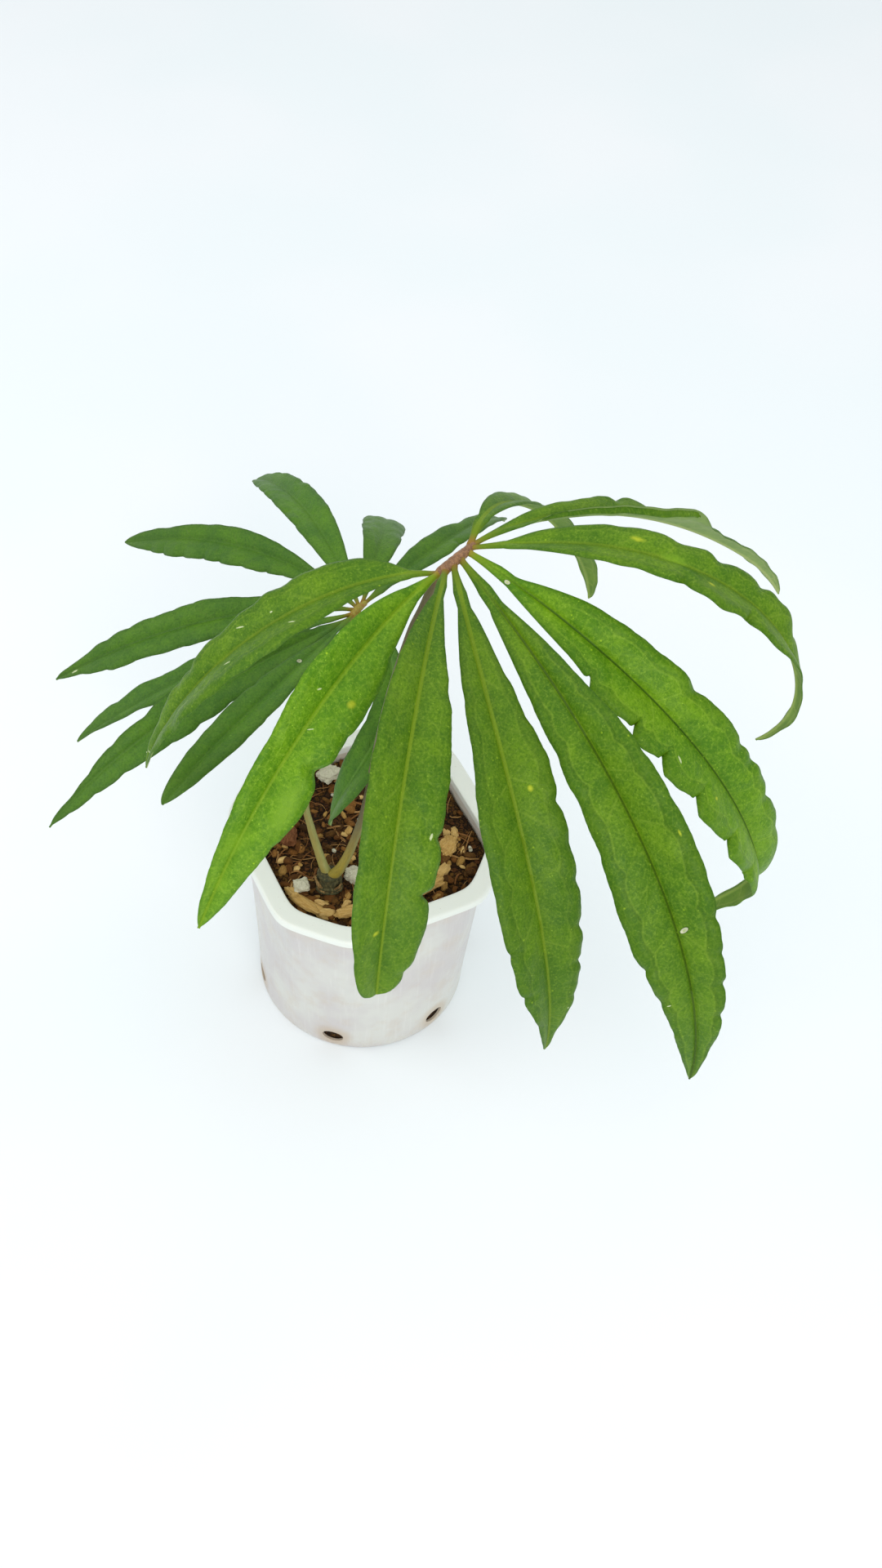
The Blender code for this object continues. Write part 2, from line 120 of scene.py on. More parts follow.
# What makes each leaflet its own.  plus and minus are the two margins, plus on
# the right of the rib's way out.  A bite: (place along 0..1, how deep in mm,
# how far the margin dips there in mm, its half length along).  A negative depth
# is a bulge.  trim: how much wider each half is at a place, in mm.  teeth: the
# notch places of a saw-like margin with lobes leaning out to the tip side, and
# their height.  scallop: (side, from, to, how many, depth).  rib: how pale the
# midrib is, and how strong the painted shadow down one side of its groove, which
# also deepens the groove.  curl, kink, veer: (from, to, degrees) of extra
# roll, climb and heading.  roll_up: (from, to, degrees) of the plus margin.
# outer: how strongly the margin strip and a line beside the collecting vein are
# painted in shade, and how plain that vein is.  shine: how strong the painted
# sheen towards the tip is.  lift: how light the leaflet's colours are, painted
# light for how brightly it is lit as well as its own tone.
DETAIL = {
    "front_leaflet_1": dict(
        trim=([(0.17, 1.8), (0.30, 0.5), (0.38, -0.3), (0.46, -1.7), (0.70, -1.7), (0.90, -1.1), (1.0, 0.0)],
              [(0.14, -2.6), (0.24, -1.6), (0.33, 1.4), (0.42, 3.4), (0.56, 3.8), (0.68, 3.5), (0.83, 1.4), (1.0, 0.0)]),
        plus=[(0.375, 0.3, 1.0, 0.028), (0.575, 0.6, 1.1, 0.030), (0.69, 0.7, 1.1, 0.020),
              (0.745, 0.6, 0.9, 0.018), (0.86, 0.5, 0.7, 0.020)],
        minus=[(0.30, 0.4, 0.4, 0.02), (0.80, 0.5, 0.4, 0.02)],
        rib=(0.55, 0.15), outer=0.35, shine=0.30),
    "front_leaflet_2": dict(
        trim=([(0.22, 0.2), (0.40, -0.8), (0.54, -3.7), (0.67, -3.0), (0.76, -2.4), (0.85, -1.6), (0.97, 0.6), (1.0, 1.2)],
              [(0.14, -1.2), (0.25, -0.6), (0.32, 1.6), (0.42, 1.7), (0.50, 1.0), (0.58, 1.2), (0.66, 2.9),
               (0.76, 1.6), (0.85, 0.9), (0.94, 1.1), (1.0, 1.2)]),
        plus=[(0.33, 0.3, 0.5, 0.03), (0.52, 0.3, 0.5, 0.03), (0.72, 0.4, 0.5, 0.03)],
        minus=[(0.458, 0.5, 0.5, 0.012), (0.562, 2.9, 1.6, 0.022), (0.755, 0.6, 0.8, 0.016)],
        rib=(0.45, 0.08), outer=0.14, shine=0.02, lift=1.42),
    "front_leaflet_3": dict(
        trim=([(0.20, 0.6), (0.32, 1.1), (0.48, 1.0), (0.63, -0.3), (0.72, -0.6), (0.81, 0.3), (0.90, 0.2), (0.965, 1.4), (1.0, 2.0)],
              [(0.26, -1.2), (0.41, 0.8), (0.52, 1.5), (0.62, 0.8), (0.74, 0.9), (0.83, 1.0), (0.90, 1.4),
               (0.965, 1.6), (1.0, 2.0)]),
        plus=[(0.60, 0.3, 0.5, 0.02), (0.765, 0.5, 0.6, 0.016)],
        minus=[(0.668, 0.9, 0.8, 0.012), (0.785, 2.7, 1.0, 0.011), (0.955, 0.6, 0.5, 0.010)],
        rib=(0.80, 0.08), outer=0.12, shine=0.0, lift=0.92),
    "front_leaflet_4": dict(
        trim=([(0.24, -0.7), (0.41, -1.8), (0.50, 0.6), (0.58, 0.5), (0.68, 1.6), (0.81, 1.1), (0.90, -2.2), (1.0, -0.4)],
              [(0.14, 0.2), (0.25, -0.8), (0.34, -0.1), (0.43, 1.5), (0.50, 0.3), (0.58, 0.5), (0.72, 0.1),
               (0.87, 0.0), (0.94, -1.8), (1.0, -0.5)]),
        plus=[(0.725, 1.2, 0.6, 0.007), (0.815, 1.3, 0.6, 0.007), (0.60, 0.3, 0.4, 0.02)],
        minus=[(0.35, 0.3, 0.5, 0.02), (0.50, 0.8, 0.8, 0.012), (0.57, 0.3, 0.6, 0.012),
               (0.64, 0.5, 0.6, 0.012), (0.72, 0.7, 0.6, 0.009), (0.79, 0.8, 0.6, 0.008), (0.86, 0.4, 0.5, 0.010)],
        rib=(0.75, 0.15), outer=0.38, shine=0.02, lift=0.86),
    "front_leaflet_5": dict(
        trim=([(0.12, 0.9), (0.21, 0.4), (0.35, -0.2), (0.51, -0.7), (0.58, 0.4), (0.64, 1.6), (0.70, 2.0),
               (0.76, 0.4), (0.85, -0.7), (1.0, -0.3)],
              [(0.14, -0.6), (0.29, -1.2), (0.35, 0.0), (0.47, 0.9), (0.60, 1.2), (0.71, 0.0), (0.86, -0.6),
               (0.93, -1.6), (1.0, -0.4)]),
        plus=[(0.375, 0.7, 0.6, 0.012), (0.455, 0.6, 0.7, 0.018), (0.535, 0.7, 0.7, 0.012),
              (0.66, 0.3, 0.6, 0.010), (0.735, 0.9, 0.7, 0.007), (0.80, 0.4, 0.5, 0.010), (0.865, 0.6, 0.5, 0.010)],
        minus=[(0.33, 0.5, 0.5, 0.02), (0.425, 0.4, 0.6, 0.012), (0.50, 0.5, 0.6, 0.012),
               (0.575, 0.5, 0.6, 0.010), (0.625, 0.4, 0.5, 0.010), (0.68, 0.9, 0.7, 0.008),
               (0.735, 0.8, 0.7, 0.008), (0.785, 1.0, 0.7, 0.008), (0.84, 0.7, 0.6, 0.008)],
        rib=(0.28, 0.75), outer=0.55, shine=0.08, lift=0.94),
    "front_leaflet_6": dict(
        trim=([(0.18, -0.3), (0.25, -0.5), (0.31, 0.8), (0.77, 0.2), (0.84, -0.6), (0.91, -1.6), (1.0, 0.0)],
              [(0.10, -1.6), (0.21, 0.8), (0.30, 0.6), (0.38, 0.2), (0.46, -0.6), (0.59, -0.4), (0.67, -0.5), (0.78, 0.4), (0.90, -1.8), (1.0, 0.0)]),
        plus=[], teeth=([0.285, 0.392, 0.463, 0.556, 0.668, 0.765], 5.0),
        minus=[(0.34, 0.3, 0.6, 0.02), (0.44, 1.0, 1.6, 0.014), (0.52, -0.5, 0.4, 0.02),
               (0.570, 0.9, 1.5, 0.012), (0.608, 0.6, 1.0, 0.010), (0.690, 1.0, 1.3, 0.012), (0.755, -1.2, 0.8, 0.020)],
        rib=(0.15, 0.95), outer=0.45, shine=0.20, kink=[(0.79, 0.86, -26.0), (0.90, 0.98, 30.0)], under=0.65, lift=1.28),
    "front_leaflet_7": dict(
        trim=([(0.12, -1.0), (0.18, -0.6), (0.26, 0.5), (0.40, 0.6), (0.49, 0.8), (0.58, 0.2), (0.66, -0.8), (0.73, -3.6), (0.83, -2.6), (0.93, -1.0), (1.0, 0.0)],
              [(0.06, -0.4), (0.25, -0.9), (0.34, -1.4), (0.42, -2.6), (0.50, -3.2), (0.58, -1.8), (0.66, -1.2), (0.74, -2.6), (0.84, -2.0), (0.93, -0.6), (1.0, 0.0)]),
        plus=[(0.430, 3.0, 1.2, 0.013), (0.50, -4.4, -0.8, 0.034), (0.572, 2.4, 1.6, 0.010), (0.63, -0.8, 0.4, 0.022)],
        minus=[(0.40, 0.8, 0.9, 0.02), (0.485, 0.7, 1.0, 0.016), (0.545, -0.6, 0.2, 0.02),
               (0.585, 0.9, 1.0, 0.012), (0.66, -0.8, 0.2, 0.02), (0.705, 0.5, 0.6, 0.012)],
        rib=(0.40, 0.20), outer=0.25, shine=0.25, curl=[(0.67, 0.75, 16.0), (0.84, 0.97, -16.0)], under=0.4),
    "front_leaflet_8": dict(
        trim=([(0.14, -0.6), (0.20, 1.6), (0.31, 2.6), (0.42, 2.8), (0.55, 2.0), (0.66, -2.2), (0.78, -2.6), (0.90, -1.2), (1.0, 0.0)],
              [(0.07, 0.0), (0.24, -1.2), (0.33, -1.8), (0.43, -1.6), (0.51, -3.0), (0.66, -4.4), (0.77, -4.2), (0.89, -2.0), (1.0, 0.0)]),
        plus=[(0.55, 0.6, -0.9, 0.02)],
        minus=[(0.395, 1.0, 1.0, 0.014), (0.345, -0.5, -0.2, 0.02), (0.43, -0.7, -0.2, 0.016),
               (0.497, 0.9, 0.8, 0.012), (0.61, 1.0, 0.8, 0.014), (0.655, -1.0, -0.2, 0.014),
               (0.69, 0.8, 0.7, 0.010), (0.79, 0.5, 0.6, 0.012)],
        rib=(0.30, 0.05), outer=0.25, shine=0.30, curl=[(0.40, 0.60, 17.0), (0.66, 0.86, 12.0)],
        roll_up=(0.10, 0.52, 95.0)),
    "front_leaflet_9": dict(
        trim=([(0.2, 0.0), (1.0, 0.0)], [(0.10, -0.8), (0.30, -1.0), (0.5, 0.0), (1.0, 0.0)]),
        plus=[(0.4, 0.5, 0.5, 0.03), (0.62, 0.5, 0.5, 0.02)],
        minus=[(0.3, -0.6, 0.3, 0.05), (0.55, 0.6, 0.6, 0.02), (0.75, 0.5, 0.5, 0.02)],
        rib=(0.70, 0.0), outer=0.10, shine=0.85, under=0.55),
    "back_leaflet_1": dict(trim=([(0.30, 2.0), (0.36, 2.2), (0.44, 0.5), (1.0, 0.0)],
                                 [(0.30, 0.3), (0.50, -1.4), (0.63, -2.8), (1.0, 0.0)]),
                           plus=[(0.45, 1.2, 0.9, 0.014)], minus=[(0.6, 0.6, 0.5, 0.03)],
                           rib=(0.20, 0.0), outer=0.1, shine=0.1),
    "back_leaflet_2": dict(trim=([(0.2, 1.2), (0.3, 0.7), (0.4, -0.3), (1.0, 0.0)], [(0.17, 1.2), (0.33, 1.2), (0.6, 1.0), (1.0, 0.0)]),
                           plus=[(0.4, 0.4, 0.5, 0.03)], minus=[(0.5, 0.4, 0.5, 0.03)],
                           rib=(0.20, 0.1), outer=0.1, shine=0.25, kink=[(0.06, 0.35, -9.0)], ends=-14.0),
    "back_leaflet_3": dict(trim=([(0.2, -0.6), (0.43, -0.6), (0.65, -1.4), (1.0, 0.0)], [(0.18, 1.0), (0.5, 0.6), (1.0, 0.0)]),
                           plus=[], minus=[], scallop=[("plus", 0.5, 0.9, 5, 0.2), ("minus", 0.3, 0.9, 6, 0.5)],
                           rib=(0.25, 0.1), outer=0.15, shine=0.2, lift=1.10),
    "back_leaflet_4": dict(trim=([(0.2, -1.4), (0.48, -1.0), (0.64, -2.0), (0.78, -2.6), (1.0, 0.0)],
                                 [(0.23, 0.6), (0.33, 1.9), (0.45, 2.2), (0.57, 1.6), (0.72, 2.6), (0.87, 0.9), (1.0, 0.0)]),
                           plus=[], minus=[], scallop=[("minus", 0.25, 0.86, 7, 1.3)],
                           rib=(0.15, 0.1), outer=0.15, shine=0.1),
    "back_leaflet_5": dict(trim=([(0.28, -1.0), (0.48, -0.3), (0.62, -1.8), (0.76, -1.5), (0.91, -2.0), (1.0, 0.0)],
                                 [(0.43, 1.6), (0.54, 1.5), (0.66, 1.4), (0.76, 2.6), (0.90, 0.2), (1.0, 0.0)]),
                           plus=[(0.55, 0.5, 0.4, 0.02)], minus=[(0.43, 0.8, 0.6, 0.02)],
                           scallop=[("minus", 0.42, 0.92, 4, 1.4), ("plus", 0.4, 0.9, 5, 0.4)],
                           rib=(0.20, 0.35), outer=0.15, shine=0.1),
    "back_leaflet_6": dict(trim=([(0.60, -2.2), (0.72, -0.6), (0.88, 0.5), (1.0, 0.0)],
                                 [(0.5, 0.5), (0.68, 1.4), (0.76, -0.6), (0.91, -2.0), (1.0, 0.0)]),
                           plus=[], minus=[], scallop=[("minus", 0.35, 0.95, 5, 1.1), ("plus", 0.5, 0.95, 3, 0.6)],
                           rib=(0.15, 0.2), outer=0.15, shine=0.1, lift=1.08),
    "back_leaflet_7": dict(trim=([(0.50, -0.8), (0.64, -2.0), (0.76, -2.3), (0.88, -3.0), (1.0, 0.0)],
                                 [(0.41, 0.0), (0.55, 0.8), (0.70, 0.0), (0.83, 0.5), (0.93, 0.9), (1.0, 0.0)]),
                           plus=[(0.62, 0.6, 0.5, 0.02)], minus=[(0.5, 0.4, 0.4, 0.02)],
                           scallop=[("minus", 0.3, 0.95, 6, 0.9), ("plus", 0.5, 0.95, 4, 0.5)],
                           rib=(0.30, 0.15), outer=0.15, shine=0.05),
    "back_leaflet_8": dict(trim=([(0.18, -0.8), (0.48, -0.3), (0.78, -1.2), (0.91, -0.9), (1.0, 0.0)],
                                 [(0.27, 0.0), (0.52, 0.9), (0.76, 1.0), (0.95, 0.5), (1.0, 0.0)]),
                           plus=[(0.5, 0.3, 0.3, 0.02)], minus=[(0.6, 0.4, 0.4, 0.02)],
                           scallop=[("minus", 0.45, 0.95, 4, 0.4)],
                           rib=(0.10, 0.15), outer=0.2, shine=0.05, lift=1.10),
    "back_leaflet_9": dict(trim=([(0.4, 0.6), (0.7, 1.4), (1.0, 0.4)], [(0.4, 0.6), (0.6, 2.6), (0.85, 3.2), (1.0, 0.8)]),
                           plus=[(0.5, 0.3, 0.3, 0.02)], minus=[(0.62, 0.4, 0.4, 0.03)],
                           rib=(0.65, 0.0), outer=0.3, shine=0.0, stretch=1.06, lift=1.12),
}

# marks on single leaflets: (kind, along mm, across mm, length, width, angle)
MARKS = {
    "front_leaflet_1": [("dash", 69, 5.3, 3.6, 0.55, 25), ("dash", 51, -9.5, 2.6, 0.6, 30),
                        ("dash", 76, -9.0, 3.0, 0.65, 20), ("dash", 99, -7.4, 7.5, 0.28, 5),
                        ("dash", 57, 3.6, 1.0, 0.6, 0), ("dash", 92, -5.2, 1.2, 0.5, 30),
                        ("dash", 84, -2.0, 0.9, 0.5, 0), ("dash", 129, 0.6, 2.2, 0.7, 90)],
    "front_leaflet_2": [("yellow", 60, -7.8, 4.0, 2.6, 10), ("wash", 100, -8.0, 22.0, 9.0, 0),
                        ("wash", 118, 1.0, 14.0, 8.0, 20), ("dash", 62, 3.8, 1.6, 0.6, 40),
                        ("dash", 74, -1.7, 2.2, 0.4, 50)],
    "front_leaflet_3": [("dash", 108, -10.6, 2.6, 1.0, 10), ("yellow", 139, 3.9, 2.8, 1.8, 80)],
    "front_leaflet_4": [("yellow", 89, -5.7, 2.6, 2.0, 0), ("dash", 168, -6.0, 0.8, 0.4, 20)],
    "front_leaflet_5": [("seed", 150, -2.6, 3.4, 1.5, 60), ("dash", 176, 8.0, 1.6, 0.4, 80),
                        ("yellow", 120, -12.5, 2.6, 1.0, 0)],
    "front_leaflet_6": [("dash", 101, 10.0, 2.8, 0.8, 30), ("seed", 18, 1.6, 2.2, 1.5, 0),
                        ("yellow", 122, 8.5, 1.6, 1.4, 0)],
    "front_leaflet_7": [("yellow", 56, -4.3, 6.0, 2.4, 5), ("yellow", 83, 6.6, 3.2, 1.8, 30),
                        ("wash", 70, 0.0, 12.0, 5.0, 0)],
    "front_leaflet_8": [("dash", 52, -1.1, 1.0, 0.5, 30), ("dash", 57, -1.0, 1.0, 0.5, 60),
                        ("dry", 98, 5.5, 9.0, 1.0, 8)],
    "front_leaflet_9": [],
    "back_leaflet_8": [("seed", 40, 1.0, 2.4, 1.4, 20)],
    "back_leaflet_7": [("dash", 100, -6.0, 2.2, 0.6, 20)],
    "back_leaflet_5": [("dash", 120, -2.0, 3.0, 1.2, 0)],
}

# loose pieces on top of the mix: name, x, y, radii x y z, yaw, kind
LUMPS = [
    ("pumice_lump_1", -25.0, -31.0, 4.0, 3.6, 3.2,  20, "pumice"),
    ("pumice_lump_2",  -3.2, -23.0, 4.6, 4.0, 3.4, -35, "pumice"),
    ("pumice_lump_3", -21.0,  33.0, 5.6, 4.6, 3.2,  50, "pumice"),
    ("husk_chunk_1",  -21.6, -40.2, 9.0, 2.9, 2.2, -28, "husk"),
    ("husk_chunk_2",   -3.4, -42.0, 6.8, 3.0, 2.2,  24, "husk"),
    ("husk_chunk_3",   29.0, -24.6, 9.5, 3.2, 2.4,  38, "husk"),
    ("husk_chunk_4",   36.4,  -1.4, 5.6, 4.4, 3.0,  70, "husk"),
    ("husk_chunk_5",   10.6,  33.0, 7.6, 3.6, 2.4, -12, "husk"),
    ("bark_chunk_1",  -34.6,  -4.6, 6.6, 4.2, 2.8, 100, "bark"),
    ("bark_chunk_2",   13.6, -10.4, 6.2, 4.4, 2.8,  15, "bark"),
]


# --------------------------------------------------------------- mesh helpers
def new_object(name, verts, faces, mats, slots=None, sharp=None, attrs=None):
    """An object from points in mm; attrs are float vectors, one a point."""
    mesh = bpy.data.meshes.new(name)
    mesh.from_pydata((np.asarray(verts, float) * MM).tolist(), [], faces)
    for m in mats:
        mesh.materials.append(m)
    if slots is not None:
        mesh.polygons.foreach_set("material_index", np.asarray(slots, np.int32))
    for key, values in (attrs or {}).items():
        layer = mesh.attributes.new(key, "FLOAT_VECTOR", "POINT")
        layer.data.foreach_set("vector", np.asarray(values, np.float32).ravel())
    mesh.validate()
    mesh.shade_smooth()
    if sharp:
        mesh.set_sharp_from_angle(angle=math.radians(sharp))
    ob = bpy.data.objects.new(name, mesh)
    bpy.context.scene.collection.objects.link(ob)
    return ob


def smooth(x, low, high):
    t = np.clip((np.asarray(x, float) - low) / (high - low), 0.0, 1.0)
    return t * t * (3.0 - 2.0 * t)


def unit(a):
    return a / np.maximum(np.linalg.norm(a, axis=-1, keepdims=True), 1e-12)


def wavy(rng, x, step, parts=3):
    """A smooth wandering line through about -1..1, its turns about a step long."""
    out = np.zeros_like(x)
    for k in range(parts):
        out += np.sin(2 * np.pi * x / (step * (0.8 + 0.75 * k)) + rng.uniform(0, 2 * np.pi)) \
            * (0.62 / (1 + 0.3 * k))
    return out


def grid_faces(rows, cols, closed, offset=0):
    out = []
    last = cols if closed else cols - 1
    for i in range(rows - 1):
        a = offset + i * cols
        for j in range(last):
            k = (j + 1) % cols
            out.append((a + j, a + k, a + cols + k, a + cols + j))
    return out


# ----------------------------------------------------------- material helpers
class Look:
    """A material and short ways to wire its nodes."""

    def __init__(self, name, rough=0.5, specular=0.5):
        self.mat = bpy.data.materials.new(name)
        self.mat.use_nodes = True
        self.tree = self.mat.node_tree
        self.shader = self.tree.nodes["Principled BSDF"]
        self.shader.inputs["Roughness"].default_value = rough
        self.shader.inputs["Specular IOR Level"].default_value = specular

    def add(self, kind, **settings):
        node = self.tree.nodes.new(kind)
        for key, value in settings.items():
            setattr(node, key, value)
        return node

    def feed(self, socket, value):
        if isinstance(value, bpy.types.NodeSocket):
            self.tree.links.new(value, socket)
        elif value is not None:
            if hasattr(socket.default_value, "__len__") and not hasattr(value, "__len__"):
                value = (value,) * len(socket.default_value)
            elif hasattr(value, "__len__") and len(value) == 3 and len(socket.default_value) == 4:
                value = (*value, 1.0)
            socket.default_value = value

    def math(self, op, a, b=None, c=None, clamp=False):
        node = self.add("ShaderNodeMath", operation=op, use_clamp=clamp)
        for socket, value in zip(node.inputs, (a, b, c)):
            self.feed(socket, value)
        return node.outputs[0]

    def mul(self, a, b):
        return self.math("MULTIPLY", a, b)

    def plus(self, a, b):
        return self.math("ADD", a, b)

    def minus(self, a, b):
        return self.math("SUBTRACT", a, b)

    def vec(self, op, a, b=None, scale=None):
        node = self.add("ShaderNodeVectorMath", operation=op)
        self.feed(node.inputs[0], a)
        if b is not None:
            self.feed(node.inputs[1], b)
        if scale is not None:
            self.feed(node.inputs["Scale"], scale)
        return node.outputs["Value"] if op in ("DOT_PRODUCT", "LENGTH", "DISTANCE") \
            else node.outputs["Vector"]

    def step(self, x, low, high, to_low=0.0, to_high=1.0):
        """Smooth rise of x from low to high."""
        node = self.add("ShaderNodeMapRange", interpolation_type="SMOOTHSTEP")
        for key, value in (("Value", x), ("From Min", low), ("From Max", high),
                           ("To Min", to_low), ("To Max", to_high)):
            self.feed(node.inputs[key], value)
        return node.outputs["Result"]

    def line(self, x, half, soft):
        """1 on a line where x is nought, fading to 0 past half."""
        return self.step(self.math("ABSOLUTE", x), half, half + soft, 1.0, 0.0)

    def attribute(self, name):
        return self.add("ShaderNodeAttribute", attribute_name=name).outputs["Vector"]

    def split(self, vector):
        node = self.add("ShaderNodeSeparateXYZ")
        self.feed(node.inputs[0], vector)
        return node.outputs

    def position(self):
        """Object coordinates in mm."""
        node = self.add("ShaderNodeTexCoord")
        return self.vec("SCALE", node.outputs["Object"], scale=1000.0)

    def noise(self, vector, scale, detail=2.0, rough=0.5, distort=0.0):
        node = self.add("ShaderNodeTexNoise")
        for key, value in (("Vector", vector), ("Scale", scale), ("Detail", detail),
                           ("Roughness", rough), ("Distortion", distort)):
            self.feed(node.inputs[key], value)
        return node.outputs["Fac"]

    def cells(self, vector, scale, feature="F1", random=1.0, out="Distance"):
        node = self.add("ShaderNodeTexVoronoi", feature=feature)
        for key, value in (("Vector", vector), ("Scale", scale), ("Randomness", random)):
            self.feed(node.inputs[key], value)
        return node.outputs[out]

    def mix(self, fac, a, b, blend="MIX"):
        node = self.add("ShaderNodeMix", data_type="RGBA", blend_type=blend)
        self.feed(node.inputs[0], fac)
        self.feed(node.inputs[6], a)
        self.feed(node.inputs[7], b)
        return node.outputs[2]

    def ramp(self, fac, stops):
        node = self.add("ShaderNodeValToRGB")
        self.feed(node.inputs[0], fac)
        band = node.color_ramp
        band.elements[0].position, band.elements[0].color = stops[0][0], (*stops[0][1], 1.0)
        band.elements[1].position, band.elements[1].color = stops[-1][0], (*stops[-1][1], 1.0)
        for place, colour in stops[1:-1]:
            band.elements.new(place).color = (*colour, 1.0)
        return node.outputs[0]

    def bump(self, height, distance, strength=1.0, normal=None):
        node = self.add("ShaderNodeBump")
        self.feed(node.inputs["Height"], height)
        node.inputs["Distance"].default_value = distance * MM
        node.inputs["Strength"].default_value = strength
        if normal is not None:
            self.feed(node.inputs["Normal"], normal)
        return node.outputs["Normal"]

    def done(self, colour=None, rough=None, normal=None):
        if colour is not None:
            self.feed(self.shader.inputs["Base Color"], colour)
        if rough is not None:
            self.feed(self.shader.inputs["Roughness"], rough)
        if normal is not None:
            self.feed(self.shader.inputs["Normal"], normal)
        return self.mat


def tint(r, g, b):
    """Linear colour from 0-255 display values."""
    out = []
    for v in (r, g, b):
        v /= 255.0
        out.append(v / 12.92 if v <= 0.04045 else ((v + 0.055) / 1.055) ** 2.4)
    return tuple(out)


# ------------------------------------------------------------------ leaf looks
# outer also colours the painted shade of the margin strip, groove the painted shadow beside the midrib and the
# collecting vein, and tip the painted sheen towards the tip
FRONT_TONES = dict(main=tint(88, 132, 12), warm=tint(114, 152, 16), cool=tint(62, 108, 12),
                   outer=tint(52, 96, 6), tip=tint(98, 140, 48), vein=tint(140, 172, 52),
                   rib=tint(138, 166, 30), groove=tint(36, 70, 4),
                   stalk=tint(112, 138, 14), foot=tint(156, 112, 52))
BACK_TONES = dict(main=tint(78, 124, 32), warm=tint(96, 142, 30), cool=tint(64, 110, 36),
                  outer=tint(52, 84, 26), tip=tint(82, 114, 50), vein=tint(100, 134, 48),
                  rib=tint(104, 146, 60), groove=tint(44, 80, 34),
                  stalk=tint(104, 132, 30), foot=tint(156, 112, 40))
UNDER_FRONT = dict(main=tint(132, 160, 92), warm=tint(146, 172, 98), rib=tint(176, 190, 120))
UNDER_BACK = dict(main=tint(112, 144, 88), warm=tint(126, 156, 92), rib=tint(150, 170, 108))

LEAF_LIFT = 0.80               # overall lightness of the leaf colours
MARK_TONES = dict(yellow=tint(176, 186, 44), wash=tint(122, 162, 34), dash=tint(196, 206, 160),
                  seed=tint(206, 206, 176), dry=tint(196, 184, 130))


def lifted(colour, k=None):
    k = LEAF_LIFT if k is None else k
    return tuple(min(c * k, 1.0) for c in colour)


